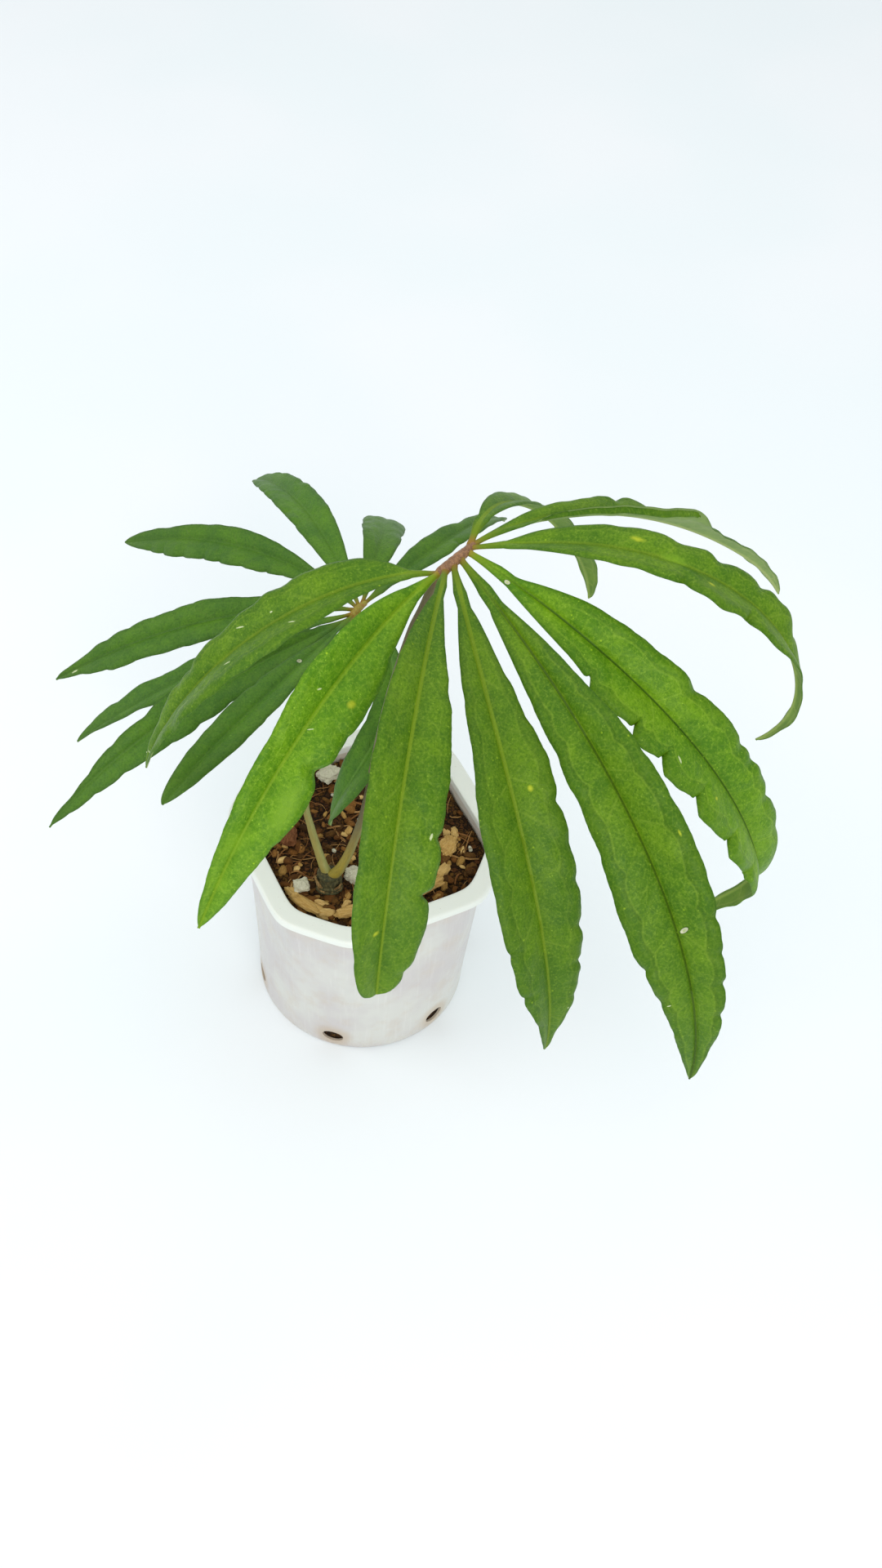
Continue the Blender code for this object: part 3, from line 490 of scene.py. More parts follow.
def leaf_top(name, tones, long, pitch, detail, marks, seed):
    # each leaflet's own lift makes its colours lighter or darker: painted light for how brightly it is lit, as well as
    # its own tone
    tones = {key: lifted(c, detail.get("lift", 1.0)) for key, c in tones.items()}
    look = Look(name + "_face", 0.46, 0.16)
    place = look.attribute("place")
    vein = look.attribute("vein")
    along, across, half = look.split(place)
    rib_d, rim_c, phase = look.split(vein)
    flat = look.vec("ADD", look.vec("MULTIPLY", place, (1.0, 1.0, 0.0)),
                    (17.3 * seed, 9.1 * seed, 3.7 * seed))
    rib_pale, rib_shadow = detail["rib"]

    big = look.noise(flat, 0.055, 2.0, 0.55)
    mid = look.noise(flat, 0.26, 3.0, 0.6)
    grain = look.noise(flat, 1.7, 2.0, 0.6)
    colour = look.mix(look.step(big, 0.36, 0.68), lifted(tones["cool"]), lifted(tones["warm"]))
    colour = look.mix(0.52, colour, lifted(tones["main"]))
    colour = look.mix(look.mul(look.step(mid, 0.44, 0.70), 0.20), colour, lifted(tones["warm"], 0.95))
    colour = look.mix(look.mul(look.step(mid, 0.52, 0.32), 0.24), colour, lifted(tones["cool"], 0.75))
    small = look.noise(flat, 1.15, 4.0, 0.75)
    colour = look.mix(look.mul(look.step(small, 0.51, 0.66), 0.42), colour, lifted(tones["vein"], 0.85))
    colour = look.mix(look.mul(look.step(small, 0.50, 0.36), 0.50), colour, lifted(tones["outer"], 0.85))

    # painted shade: the margin strip beyond the collecting vein is painted darker, as it bends down away from the
    # light; the very edge is darker still
    outer_strip_shade = look.mul(look.step(rim_c, -0.3, 2.4), look.step(big, 0.30, 0.62, 0.25, 0.85))
    colour = look.mix(look.mul(outer_strip_shade, detail["outer"]), colour, lifted(tones["outer"]))
    edge = look.step(look.minus(half, look.math("ABSOLUTE", rib_d)), 1.5, 0.1)
    colour = look.mix(look.mul(edge, 0.46), colour, lifted(tones["outer"], 0.75))

    # painted sheen: greyer towards the tip, where the curving blade meets the light at a glancing angle
    far = look.step(look.mul(along, 1.0 / long), 0.62, 0.99)
    colour = look.mix(look.mul(look.mul(far, look.step(mid, 0.3, 0.7, 0.6, 1.0)),
                               0.28 + 0.6 * detail["shine"]), colour, lifted(tones["tip"]))

    # side veins, with a fine net between them
    turn = look.minus(phase, look.math("ROUND", phase))
    side_mm = look.mul(turn, pitch * 0.72)
    inside = look.step(rim_c, 0.5, -0.2)
    side_line = look.mul(look.line(side_mm, 0.10, 0.42), inside)
    rim_line = look.line(rim_c, 0.12, 0.42)
    mesh_edge = look.cells(look.vec("ADD", flat, look.vec("SCALE", flat, scale=0.02)), 0.30,
                           feature="DISTANCE_TO_EDGE")
    net_line = look.step(mesh_edge, 0.085, 0.0)
    veins = look.math("MAXIMUM", look.mul(side_line, look.step(big, 0.46, 0.60, 0.22, 0.70)), look.mul(rim_line, 0.12 + 0.78 * detail["outer"]))
    veins = look.mul(veins, look.step(mid, 0.25, 0.6, 0.45, 1.0))
    shaft = look.step(look.mul(along, 1.0 / long), 0.10, 0.26)
    veins = look.mul(veins, shaft)
    colour = look.mix(look.mul(veins, 0.50), colour, lifted(tones["vein"]))
    colour = look.mix(look.mul(look.mul(net_line, shaft), 0.13), colour, lifted(tones["vein"]))
    # painted shade: a dark line just beyond the collecting vein, beside its ridge
    vein_lee_shade = look.mul(look.line(look.minus(rim_c, 0.75), 0.15, 0.8), shaft)
    colour = look.mix(look.mul(vein_lee_shade, 0.36 * detail["outer"]), colour, lifted(tones["groove"]))

    # midrib: a pale band, and painted shadow down one side of its groove
    narrow = look.step(look.mul(along, 1.0 / long), 0.15, 1.0, 0.62, 0.26)
    pale = look.step(look.minus(look.math("ABSOLUTE", rib_d), narrow), 0.42, -0.05)
    colour = look.mix(look.mul(pale, rib_pale * 0.9), colour, lifted(tones["rib"]))
    dark = look.line(look.minus(rib_d, 0.10), 0.16, 0.40)
    fade = look.step(look.mul(along, 1.0 / long), 0.05, 0.2, 0.3, 1.0)
    colour = look.mix(look.mul(look.mul(dark, fade), rib_shadow * 0.85), colour,
                      lifted(tones["groove"]))

    # pale specks
    point = look.cells(flat, 0.62)
    chance = look.split(look.cells(flat, 0.62, out="Color"))[0]
    speck = look.mul(look.step(point, 0.20, 0.06), look.step(chance, 0.62, 0.70))
    speck = look.mul(speck, look.step(mid, 0.36, 0.52))
    colour = look.mix(look.mul(speck, 0.50), colour, lifted(tones["vein"], 1.15))
    dot = look.cells(flat, 0.17)
    few = look.split(look.cells(flat, 0.17, out="Color"))[1]
    star = look.mul(look.step(dot, 0.075, 0.035), look.step(few, 0.55, 0.6))
    colour = look.mix(look.mul(star, 0.55), colour, lifted(tones["rib"], 1.25))
    colour = look.mix(look.mul(look.step(grain, 0.35, 0.7), 0.10), colour, lifted(tones["cool"], 0.7))

    # the stalklet and the wedge of blade just past it
    stalk = look.step(along, 13.0, 1.0)
    colour = look.mix(look.mul(stalk, 0.85), colour, lifted(tones["stalk"]))
    foot = look.mul(look.step(along, 3.4, -2.2), look.step(mid, 0.2, 0.6, 0.8, 1.0))
    colour = look.mix(look.mul(foot, 0.92), colour, lifted(tones["foot"]))

    height = look.plus(look.mul(grain, 0.25), look.mul(look.mul(net_line, shaft), -0.55))
    for kind, u, v, length, width, angle in marks:
        off = look.vec("SUBTRACT", look.vec("MULTIPLY", place, (1.0, 1.0, 0.0)), (u, v, 0.0))
        c, s = math.cos(math.radians(angle)), math.sin(math.radians(angle))
        a = look.vec("DOT_PRODUCT", off, (c * 2.0 / length, s * 2.0 / length, 0.0))
        b = look.vec("DOT_PRODUCT", off, (-s * 2.0 / width, c * 2.0 / width, 0.0))
        far_out = look.math("SQRT", look.plus(look.mul(a, a), look.mul(b, b)))
        if kind in ("yellow", "wash"):
            rough_edge = look.plus(far_out, look.mul(look.minus(mid, 0.5), 1.3))
            spot = look.step(rough_edge, 1.15, 0.15)
            strength = 0.80 if kind == "yellow" else 0.60
        elif kind == "seed":
            spot = look.step(far_out, 1.05, 0.90)
            core = look.step(far_out, 0.55, 0.30)
            height = look.plus(height, look.mul(look.step(far_out, 1.1, 0.3), 4.0))
            colour = look.mix(look.mul(look.step(far_out, 1.5, 1.0), 0.5), colour,
                              lifted(tones["groove"], 0.8))
            strength = 0.92
        else:
            spot = look.step(look.plus(far_out, look.mul(look.minus(grain, 0.5), 0.9)), 1.1, 0.7)
            strength = 0.85
        colour = look.mix(look.mul(spot, strength), colour, MARK_TONES[kind])
        if kind == "seed":
            colour = look.mix(look.mul(core, 0.55), colour, lifted(tones["vein"], 0.9))

    height = look.plus(height, look.mul(veins, -0.9))
    normal = look.bump(height, 0.10, 0.9)
    rough = look.step(grain, 0.2, 0.8, 0.40, 0.55)
    return look.done(colour, rough, normal)


def leaf_under(name, tones, long, pitch, seed):
    look = Look(name + "_underside", 0.58, 0.15)
    place = look.attribute("place")
    vein = look.attribute("vein")
    along = look.split(place)[0]
    rib_d, rim_c, phase = look.split(vein)
    flat = look.vec("ADD", look.vec("MULTIPLY", place, (1.0, 1.0, 0.0)),
                    (5.3 * seed, 11.0 * seed, 1.7 * seed))
    mid = look.noise(flat, 0.22, 3.0, 0.6)
    grain = look.noise(flat, 1.6, 2.0, 0.6)
    colour = look.mix(look.step(mid, 0.3, 0.7), lifted(tones["main"]), lifted(tones["warm"]))
    turn = look.minus(phase, look.math("ROUND", phase))
    side_line = look.mul(look.line(look.mul(turn, pitch * 0.72), 0.10, 0.45),
                         look.step(rim_c, 0.5, -0.2))
    rim_line = look.line(rim_c, 0.12, 0.42)
    veins = look.math("MAXIMUM", side_line, rim_line)
    net = look.step(look.cells(flat, 0.30, feature="DISTANCE_TO_EDGE"), 0.09, 0.0)
    colour = look.mix(look.mul(veins, 0.40), colour, lifted(tones["rib"]))
    colour = look.mix(look.mul(net, 0.16), colour, lifted(tones["main"], 0.7))
    keel = look.step(look.math("ABSOLUTE", rib_d), 0.95, 0.35)
    colour = look.mix(look.mul(keel, 0.75), colour, lifted(tones["rib"]))
    colour = look.mix(look.mul(look.step(grain, 0.4, 0.75), 0.12), colour,
                      lifted(tones["main"], 0.75))
    foot = look.step(along, 7.5, 1.0)
    colour = look.mix(look.mul(foot, 0.85), colour, tint(140, 112, 50))
    height = look.plus(look.mul(grain, 0.2), look.plus(look.mul(veins, 0.9), look.mul(net, 0.35)))
    normal = look.bump(height, 0.10, 0.9)
    rough = look.step(grain, 0.2, 0.8, 0.52, 0.66)
    return look.done(colour, rough, normal)


# ------------------------------------------------------------- leaflet meshes
def smooth_route(points, per_span=3):
    out = []
    n = len(points)
    for i in range(n - 1):
        p0 = points[max(i - 1, 0)]
        p1, p2 = points[i], points[i + 1]
        p3 = points[min(i + 2, n - 1)]
        for k in range(per_span):
            t = k / per_span
            out.append(tuple(
                0.5 * (2 * b + (c - a) * t + (2 * a - 5 * b + 4 * c - d) * t * t
                       + (3 * b - a - 3 * c + d) * t ** 3)
                for a, b, c, d in zip(p0, p1, p2, p3)))
    out.append(tuple(points[-1]))
    return out


def hub_place(route, seat):
    first = len(route) - (FRONT_HUB_POINTS if route is FRONT_STALK else BACK_HUB_POINTS)
    span = (len(route) - 1 - first) * seat
    i = min(int(span), len(route) - 2 - first) + first
    t = span + first - i
    return [a + (b - a) * t for a, b in zip(route[i], route[i + 1])]


def spine(start, row, count, curl=(), kink=(), veer=(), stretch=1.0):
    """Rib points and their directions, count + 1 of each."""
    (_, _, heading, rise, droop, sweep, bend, hook, long, _, roll, turn, _, _) = row
    fine = 10
    s = np.linspace(0.0, 1.0, count * fine + 1)
    u = np.clip((s - 0.8) / 0.2, 0.0, 1.0)
    climb = rise - droop * s ** bend - hook * u * u * (3.0 - 2.0 * u)
    head = heading + sweep * s
    for low, high, degrees in kink:
        climb = climb + degrees * smooth(s, low, high)
    for low, high, degrees in veer:
        head = head + degrees * smooth(s, low, high)
    climb, head = np.radians(climb), np.radians(head)
    long = long * stretch
    flat = np.stack([np.cos(head), np.sin(head), 0.0 * s], 1)
    tangent = flat * np.cos(climb)[:, None]
    tangent[:, 2] = np.sin(climb)
    mid = unit(tangent[1:] + tangent[:-1])
    place = np.vstack([[start], np.asarray(start) + np.cumsum(mid * long / (count * fine), 0)])
    side = np.stack([np.sin(head), -np.cos(head), 0.0 * s], 1)
    up = -flat * np.sin(climb)[:, None]
    up[:, 2] = np.cos(climb)
    w = roll + turn * s
    for low, high, degrees in curl:
        w = w + degrees * smooth(s, low, high)
    w = np.radians(w)[:, None]
    across = side * np.cos(w) + up * np.sin(w)
    above = up * np.cos(w) - side * np.sin(w)
    pick = slice(None, None, fine)
    return s[pick], place[pick], tangent[pick], across[pick], above[pick]


def leaflet_start(route, row):
    """Where the stalklet clears the hub bar, and how far that lies from the bar's axis point."""
    centre = Vector(hub_place(route, row[1])[:3])
    _, _, tangent, across, above = spine(tuple(centre), row, 1)
    tangent, across, above = (Vector(a[0]) for a in (tangent, across, above))
    bar = [p for p in smooth_route(route) if p[2] > route[-1][2] - 22.0]
    reach = 0.5
    while True:
        corners = [centre + tangent * reach + across * a + above * b
                   for a in (-STALK_HALF, STALK_HALF) for b in (-0.65, 0.65)]
        clear = min((c - Vector(p[:3])).length - p[3] for c in corners for p in bar)
        if clear > GAP + 0.1:
            return centre + tangent * reach, reach
        reach += 0.1


def blade_half(s, wide, base, tip):
    t = np.clip((s - STALK_PART) / (1.0 - STALK_PART), 0.0, 1.0)
    peak = base / (base + tip)
    full = (t ** base) * ((1.0 - t) ** tip) / ((peak ** base) * ((1.0 - peak) ** tip))
    return np.maximum(wide / 2.0 * full, np.where(s < 0.5, STALK_HALF, 0.35))


def make_leaflet(row, route, tones, under, rows, cols, seed, gutter=17.0, fold=26.0, size_class="front"):
    name, long, wide, base, tip = row[0], row[8], row[9], row[12], row[13]
    detail = DETAIL[name]
    rng = np.random.default_rng(400 + seed)
    start, reach = leaflet_start(route, row)
    s, place, tangent, across, above = spine(
        tuple(start), row, rows, detail.get("curl", ()), detail.get("kink", ()),
        detail.get("veer", ()), detail.get("stretch", 1.0))

    # run the stalklet back into the hub bar
    back = np.linspace(-reach + 0.2, 0.0, 6)[:-1]
    place = np.vstack([place[0] + tangent[0] * b for b in back] + [place])
    lead = len(back)
    s = np.concatenate([back / long, s])
    tangent, across, above = (np.vstack([np.repeat(a[:1], lead, 0), a])
                              for a in (tangent, across, above))
    n = len(s)
    along = s * long
    blade = smooth(s, STALK_PART - 0.01, STALK_PART + 0.08)
    flare = 1.0 + 0.30 * smooth(along, 1.0, -2.0)
    neck = 1.12 if size_class == "front" else 0.78

    # the two half widths, with bites, bulges and scallops
    size = wide / 28.0
    halves, dips = [], []
    for sign in ("plus", "minus"):
        w = blade_half(s, wide, base, tip)
        dip = np.zeros(n)
        ease = neck + 0.75 * np.clip(s / 0.05, 0.0, 2.2) ** 1.6
        w = np.where(s < 0.11, np.maximum(w, np.minimum(ease, blade_half(np.full(n, 0.11), wide, base, tip))), w)
        w0 = w.copy()
        spots = detail["trim"][0 if sign == "plus" else 1]
        trim = np.interp(s, [0.06] + [a for a, _ in spots], [0.0] + [b for _, b in spots])
        kernel = np.hanning(15)
        trim = np.convolve(np.pad(trim, 7, mode="edge"), kernel / kernel.sum(), mode="valid")
        w = w + trim * np.clip(w / 3.0, 0.0, 1.0)
        if sign == "plus" and "teeth" in detail:
            cuts, high = detail["teeth"]
            for a, b in zip(cuts[:-1], cuts[1:]):
                v = np.clip((s - a) / (b - a), 0.0, 1.0)
                saw = smooth(v, 0.0, 0.22) * (1.0 - 0.86 * v ** 1.8) * (v < 1.0)
                w += high * (saw - 0.42) * smooth(s, a - 0.004, a + 0.004) * smooth(s, b + 0.006, b - 0.002)
                dip -= 1.3 * np.exp(-((s - b) / 0.012) ** 2)
        for at, deep, down, reach_s in detail.get(sign, ()):
            shape = np.exp(-np.abs((s - at) / reach_s) ** 1.7)
            w -= deep * shape
            dip -= down * np.exp(-((s - at) / (reach_s * 1.25)) ** 2)
        for which, low, high, count, deep in detail.get("scallop", ()):
            if which == sign:
                ph = (s - low) / (high - low) * count
                ph = ph + 0.16 * np.sin(ph * 2.1 + seed)
                on = smooth(s, low - 0.03, low + 0.06) * smooth(s, high + 0.03, high - 0.06)
                w -= deep * on * (1.0 - np.abs(np.sin(np.pi * ph))) ** 1.5
                dip -= 0.6 * deep * on * (1.0 - np.abs(np.sin(np.pi * ph))) ** 1.2
        lively = smooth(s, 0.16, 0.34) * smooth(s, 1.0, 0.9)
        w += lively * 0.13 * size * wavy(rng, along, 11.0)
        w += lively * 0.05 * size * wavy(rng, along, 3.6, 2)
        dip += lively * 0.42 * size * wavy(rng, along, 15.0)
        halves.append(np.maximum(np.where(s > 0.06, w, w0), 0.3) * flare)
        dips.append(dip)
    w_plus, w_minus = halves

    # cross-sections: up from the rib, over, and down at the margin
    p = np.linspace(-1.0, 1.0, cols + 1)
    round_part = (1.0 - blade)[:, None]
    spread = p[None, :] * (1.0 - round_part) + np.sin(p * np.pi / 2)[None, :] * round_part
    width = np.where(spread < 0, w_minus[:, None], w_plus[:, None])
    d = spread * width
    q = np.abs(spread)
    dip = np.where(spread < 0, dips[1][:, None], dips[0][:, None])
    pitch = 11.5 + 3.0 * size
    phase = np.zeros_like(d)
    for sign in (-1, 1):
        jitter = 0.16 * pitch * wavy(rng, along, 31.0) + rng.uniform(0, pitch)
        pick = spread < 0 if sign < 0 else spread >= 0
        value = (along[:, None] - 0.85 * np.abs(d) + 0.012 * d * d + jitter[:, None]) / pitch
        phase = np.where(pick, value, phase)
    at_rim = phase + (0.85 * (np.abs(d) - 0.6 * width)) / pitch
    bow = np.abs(np.sin(np.pi * at_rim))
    share = 0.555 + 0.12 * bow * smooth(s, 0.1, 0.3)[:, None]
    rim_c = np.abs(d) - width * share

    g = np.radians(gutter) * (1.0 - q ** 1.5) * blade[:, None]
    e = np.radians(fold) * smooth(q, 0.50, 1.0) * blade[:, None] * smooth(s, 0.08, 0.25)[:, None]
    slope = g - e
    centre = cols // 2
    x = np.zeros_like(d)
    z = np.zeros_like(d)
    for j in range(centre + 1, cols + 1):
        step = np.abs(d[:, j] - d[:, j - 1])
        a = 0.5 * (slope[:, j] + slope[:, j - 1])
        x[:, j] = x[:, j - 1] + step * np.cos(a)
        z[:, j] = z[:, j - 1] + step * np.sin(a)
    for j in range(centre - 1, -1, -1):
        step = np.abs(d[:, j] - d[:, j + 1])
        a = 0.5 * (slope[:, j] + slope[:, j + 1])
        x[:, j] = x[:, j + 1] - step * np.cos(a)
        z[:, j] = z[:, j + 1] + step * np.sin(a)
    ends = np.radians(12.0 + (detail.get("ends", 12.0) - 12.0) * smooth(s, 0.22, 0.5))
    for cols_, edge in ((slice(centre + 1, None), -1), (slice(0, centre), 0)):
        reach_x = np.abs(x[:, edge]) + 1e-9
        want_x = width[:, edge] * (np.cos(ends) * blade + 1.0 - blade)
        lift = width[:, edge] * np.sin(ends) * blade - z[:, edge]
        x[:, cols_] *= (want_x / reach_x)[:, None]
        z[:, cols_] += lift[:, None] * q[:, cols_]
    z += dip * smooth(q, 0.42, 1.0) * blade[:, None]
    if "roll_up" in detail:
        low, high, degrees = detail["roll_up"]
        on = smooth(s, low, low + 0.08) * smooth(s, high + 0.10, high)
        hinge = centre + int(0.70 * (cols - centre))
        for j in range(hinge + 1, cols + 1):
            a = math.radians(degrees) * on * smooth((j - hinge) / (cols - hinge), 0.0, 0.8)
            dx, dz = x[:, j] - x[:, hinge], z[:, j] - z[:, hinge]
            x[:, j] = x[:, hinge] + dx * np.cos(a) - dz * np.sin(a)
            z[:, j] = z[:, hinge] + dx * np.sin(a) + dz * np.cos(a)

    sheet = place[:, None, :] + across[:, None, :] * x[..., None] + above[:, None, :] * z[..., None]
    du = np.gradient(sheet, axis=0)
    dv = np.gradient(sheet, axis=1)
    normal = unit(np.cross(dv, du))
    flip = np.sign(np.sum(normal * above[:, None, :], -1))
    flip[flip == 0] = 1.0
    normal = normal * flip[..., None]
    keep = (round_part > 0.6)[..., None]
    normal = unit(np.where(keep, above[:, None, :], normal))

    # veins pressed in, blade puffed between them
    lateral = np.abs(phase - np.round(phase)) * pitch * 0.72
    young = smooth(s, 0.10, 0.28)[:, None] * smooth(s, 1.0, 0.93)[:, None]
    thin = np.clip(width / 12.0, 0.0, 1.0)
    groove = -0.50 * np.exp(-(d / 0.85) ** 2) * (0.45 + 0.55 * detail["rib"][1]) * blade[:, None]
    cell = (1.0 - np.exp(-(lateral / 2.4) ** 2) * (rim_c < 0.6)) * (1.0 - np.exp(-(rim_c / 1.7) ** 2)) \
        * (1.0 - np.exp(-(d / 2.4) ** 2))
    puff = 0.42 * thin * young * cell * np.where(rim_c > 0, 0.7 * (1.0 - smooth(q, 0.85, 1.0)), 1.0)
    relief = (groove + puff)[..., None]

    slim = 1.0 - 0.45 * smooth(q, 0.8, 1.0)
    t_top = (0.20 * slim) * (1.0 - round_part) + 0.70 * np.sqrt(np.clip(1 - q * q, 0, 1)) * round_part
    keel = 0.95 * np.exp(-(d / 0.62) ** 2) * (1.0 - 0.72 * np.clip(s, 0, 1))[:, None]
    t_bot = (0.20 * slim + keel) * (1.0 - round_part) \
        + 0.78 * np.sqrt(np.clip(1 - q * q, 0, 1)) * round_part
    t_top = np.maximum(t_top * flare[:, None], 0.06)
    t_bot = np.maximum(t_bot * flare[:, None], 0.06)
    top = sheet + normal * (t_top[..., None] + relief)
    low = sheet - normal * (t_bot[..., None] - relief * 0.8)

    m = cols + 1
    verts = np.vstack([top.reshape(-1, 3), low.reshape(-1, 3)])
    upper = grid_faces(n, m, False)
    lower = [f[::-1] for f in grid_faces(n, m, False, n * m)]
    rims = []
    for i in range(n - 1):
        a, b = i * m, (i + 1) * m
        c, e2 = n * m + i * m, n * m + (i + 1) * m
        rims.append((a, b, e2, c))
        rims.append((a + m - 1, c + m - 1, e2 + m - 1, b + m - 1))
    ends = []
    for j in range(m - 1):
        ends.append((j, n * m + j, n * m + j + 1, j + 1))
        k = (n - 1) * m + j
        ends.append((k, k + 1, n * m + k + 1, n * m + k))
    faces = upper + lower + rims + ends
    if np.sum(np.cross(dv, du)[n // 2, centre] * above[n // 2]) > 0:
        faces = [f[::-1] for f in faces]
    slots = [0] * len(upper) + [1] * len(lower) + [0] * (len(rims) + len(ends))
    vein = np.stack([d, rim_c, phase], -1).reshape(-1, 3)
    spot = np.stack([np.broadcast_to(along[:, None], d.shape), d, width], -1).reshape(-1, 3)
    green = detail.get("under", 0.0)
    under = {key: tuple(a * (1.0 - green) + b * green for a, b in zip(under[key], tones[other]))
             for key, other in (("main", "main"), ("warm", "warm"), ("rib", "vein"))}
    mats = [leaf_top(name, tones, long, pitch, detail, MARKS.get(name, []), seed),
            leaf_under(name, under, long, pitch, seed)]
    ob = new_object(name + "_blade", verts, faces, mats, slots, sharp=70,
                    attrs={"vein": np.vstack([vein, vein]), "place": np.vstack([spot, spot])})
    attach(ob, "root")
    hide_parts(name)
    return ob


# ----------------------------------------------------------------------- stems
def tube_mesh(points, radii, sides, wobble=None, flat=None):
    """Rings along a route; returns points, faces, place attribute."""
    points = np.asarray(points, float)
    n = len(points)
    t = unit(np.gradient(points, axis=0))
    ref = np.array([1.0, 0.0, 0.0])
    verts, attr = [], []
    run = np.concatenate([[0.0], np.cumsum(np.linalg.norm(np.diff(points, axis=0), axis=1))])
    for i in range(n):
        ref = ref - t[i] * ref.dot(t[i])
        ref /= np.linalg.norm(ref)
        other = np.cross(t[i], ref)
        for k in range(sides):
            w = 2.0 * math.pi * k / sides
            r = radii[i] * (1.0 if wobble is None else wobble(run[i], w))
            verts.append(points[i] + (ref * math.cos(w) + other * math.sin(w)) * r)
            attr.append((run[i], w * radii[i], run[-1] - run[i]))
    faces = [f[::-1] for f in grid_faces(n, sides, True)]
    faces.append(tuple(range(sides)))
    faces.append(tuple(range((n - 1) * sides, n * sides))[::-1])
    return verts, faces, attr


def outward(ob):
    bm = bmesh.new()
    bm.from_mesh(ob.data)
    bmesh.ops.recalc_face_normals(bm, faces=bm.faces)
    bm.to_mesh(ob.data)
    bm.free()
    return ob


def petiole_look(name, low, mid, pale, hub, hub_from, hub_dark):
    look = Look(name, 0.5, 0.35)
    place = look.attribute("place")
    run, around, left = look.split(place)
    pos = look.position()
    stretch = look.vec("MULTIPLY", place, (0.16, 1.0, 0.0))
    streak = look.noise(stretch, 1.6, 4.0, 0.65)
    blotch = look.noise(pos, 0.14, 3.0, 0.6)
    fine = look.noise(pos, 2.4, 3.0, 0.6)
    geometry = look.add("ShaderNodeNewGeometry")
    # painted highlight: the side facing the light is painted paler
    lit_side = look.vec("DOT_PRODUCT", geometry.outputs["Normal"], (0.86, -0.42, 0.30))
    colour = look.mix(look.step(run, 8.0, 52.0), low, mid)
    colour = look.mix(look.mul(look.step(lit_side, 0.35, 0.92), 0.75), colour, pale)
    colour = look.mix(look.mul(look.step(streak, 0.42, 0.72), 0.35), colour, lifted(mid, 0.62))
    colour = look.mix(look.mul(look.step(blotch, 0.5, 0.75), 0.30), colour, lifted(hub_dark, 0.9))
    colour = look.mix(look.mul(look.step(fine, 0.62, 0.72), 0.35), colour, lifted(pale, 1.2))
    near = look.step(left, hub_from + 3.0, hub_from - 3.0)
    barky = look.mix(look.step(look.noise(pos, 0.75, 4.0, 0.7), 0.34, 0.66), hub, hub_dark)
    scurf = look.step(look.noise(pos, 1.9, 3.0, 0.7), 0.58, 0.70)
    barky = look.mix(look.mul(scurf, 0.50), barky, tint(196, 168, 140))
    colour = look.mix(near, colour, barky)
    height = look.plus(look.mul(streak, 0.8), look.mul(look.mul(near, look.noise(pos, 1.3, 4.0, 0.7)), 2.2))
    return look.done(colour, look.step(fine, 0.3, 0.7, 0.42, 0.62), look.bump(height, 0.16, 0.9))


def make_petiole(name, route, mat, hub_points):
    per = 14
    line = np.array(smooth_route(route, per))
    hub_start = (len(route) - hub_points) * per
    # the route's first point is taken down into the stem base
    line[:, 3] *= np.interp(line[:, 2], [130.0, 190.0, 270.0, 292.0], [1.0, 1.12, 1.22, 1.05])
    first = line[0]
    toward = np.array([CROWN[0], CROWN[1], STEM_TOP_Z - 4.0])
    foot = np.array([np.append(first[:3] + (toward - first[:3]) * k, first[3] * (1.0 + 0.12 * k))
                     for k in (1.0, 0.75, 0.5, 0.25)])
    line = np.vstack([foot, line])
    hub_start += len(foot)
    # round off the end of the bar
    tangent = unit(line[-1, :3] - line[-2, :3])
    for k in range(1, 6):
        a = k / 5.0 * math.pi / 2
        line = np.vstack([line, np.append(line[hub_start + (hub_points - 1) * per, :3]
                                          + tangent * route[-1][3] * math.sin(a) * 0.9,
                                          max(route[-1][3] * math.cos(a), 0.12))])
    run = np.concatenate([[0.0], np.cumsum(np.linalg.norm(np.diff(line[:, :3], axis=0), axis=1))])
    hub_run = run[hub_start]
    total = run[-1]

    def wobble(at, w):
        k = 1.0 + 0.018 * math.sin(at * 0.35 + 2.0 * w) + 0.035 * math.cos(2.0 * w + 0.012 * at)
        k -= 0.10 * math.exp(-((math.cos(w - 0.9) - 1.0) / 0.10) ** 2) * (1.0 if at < hub_run else 0.0)
        if at > hub_run - 3.0:
            k += 0.09 * noise.noise(Vector((at * 0.9, math.cos(w) * 1.4, math.sin(w) * 1.4)))
            k += 0.05 * noise.noise(Vector((at * 2.2, math.cos(w) * 2.4, 5 + math.sin(w) * 2.4)))
        return k

    verts, faces, attr = tube_mesh(line[:, :3], line[:, 3], 28, wobble)
    ob = outward(new_object(name + "_stem", verts, faces, [mat], sharp=60, attrs={"place": attr}))
    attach(ob, "root")
    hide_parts(name)
    return ob, total - hub_run


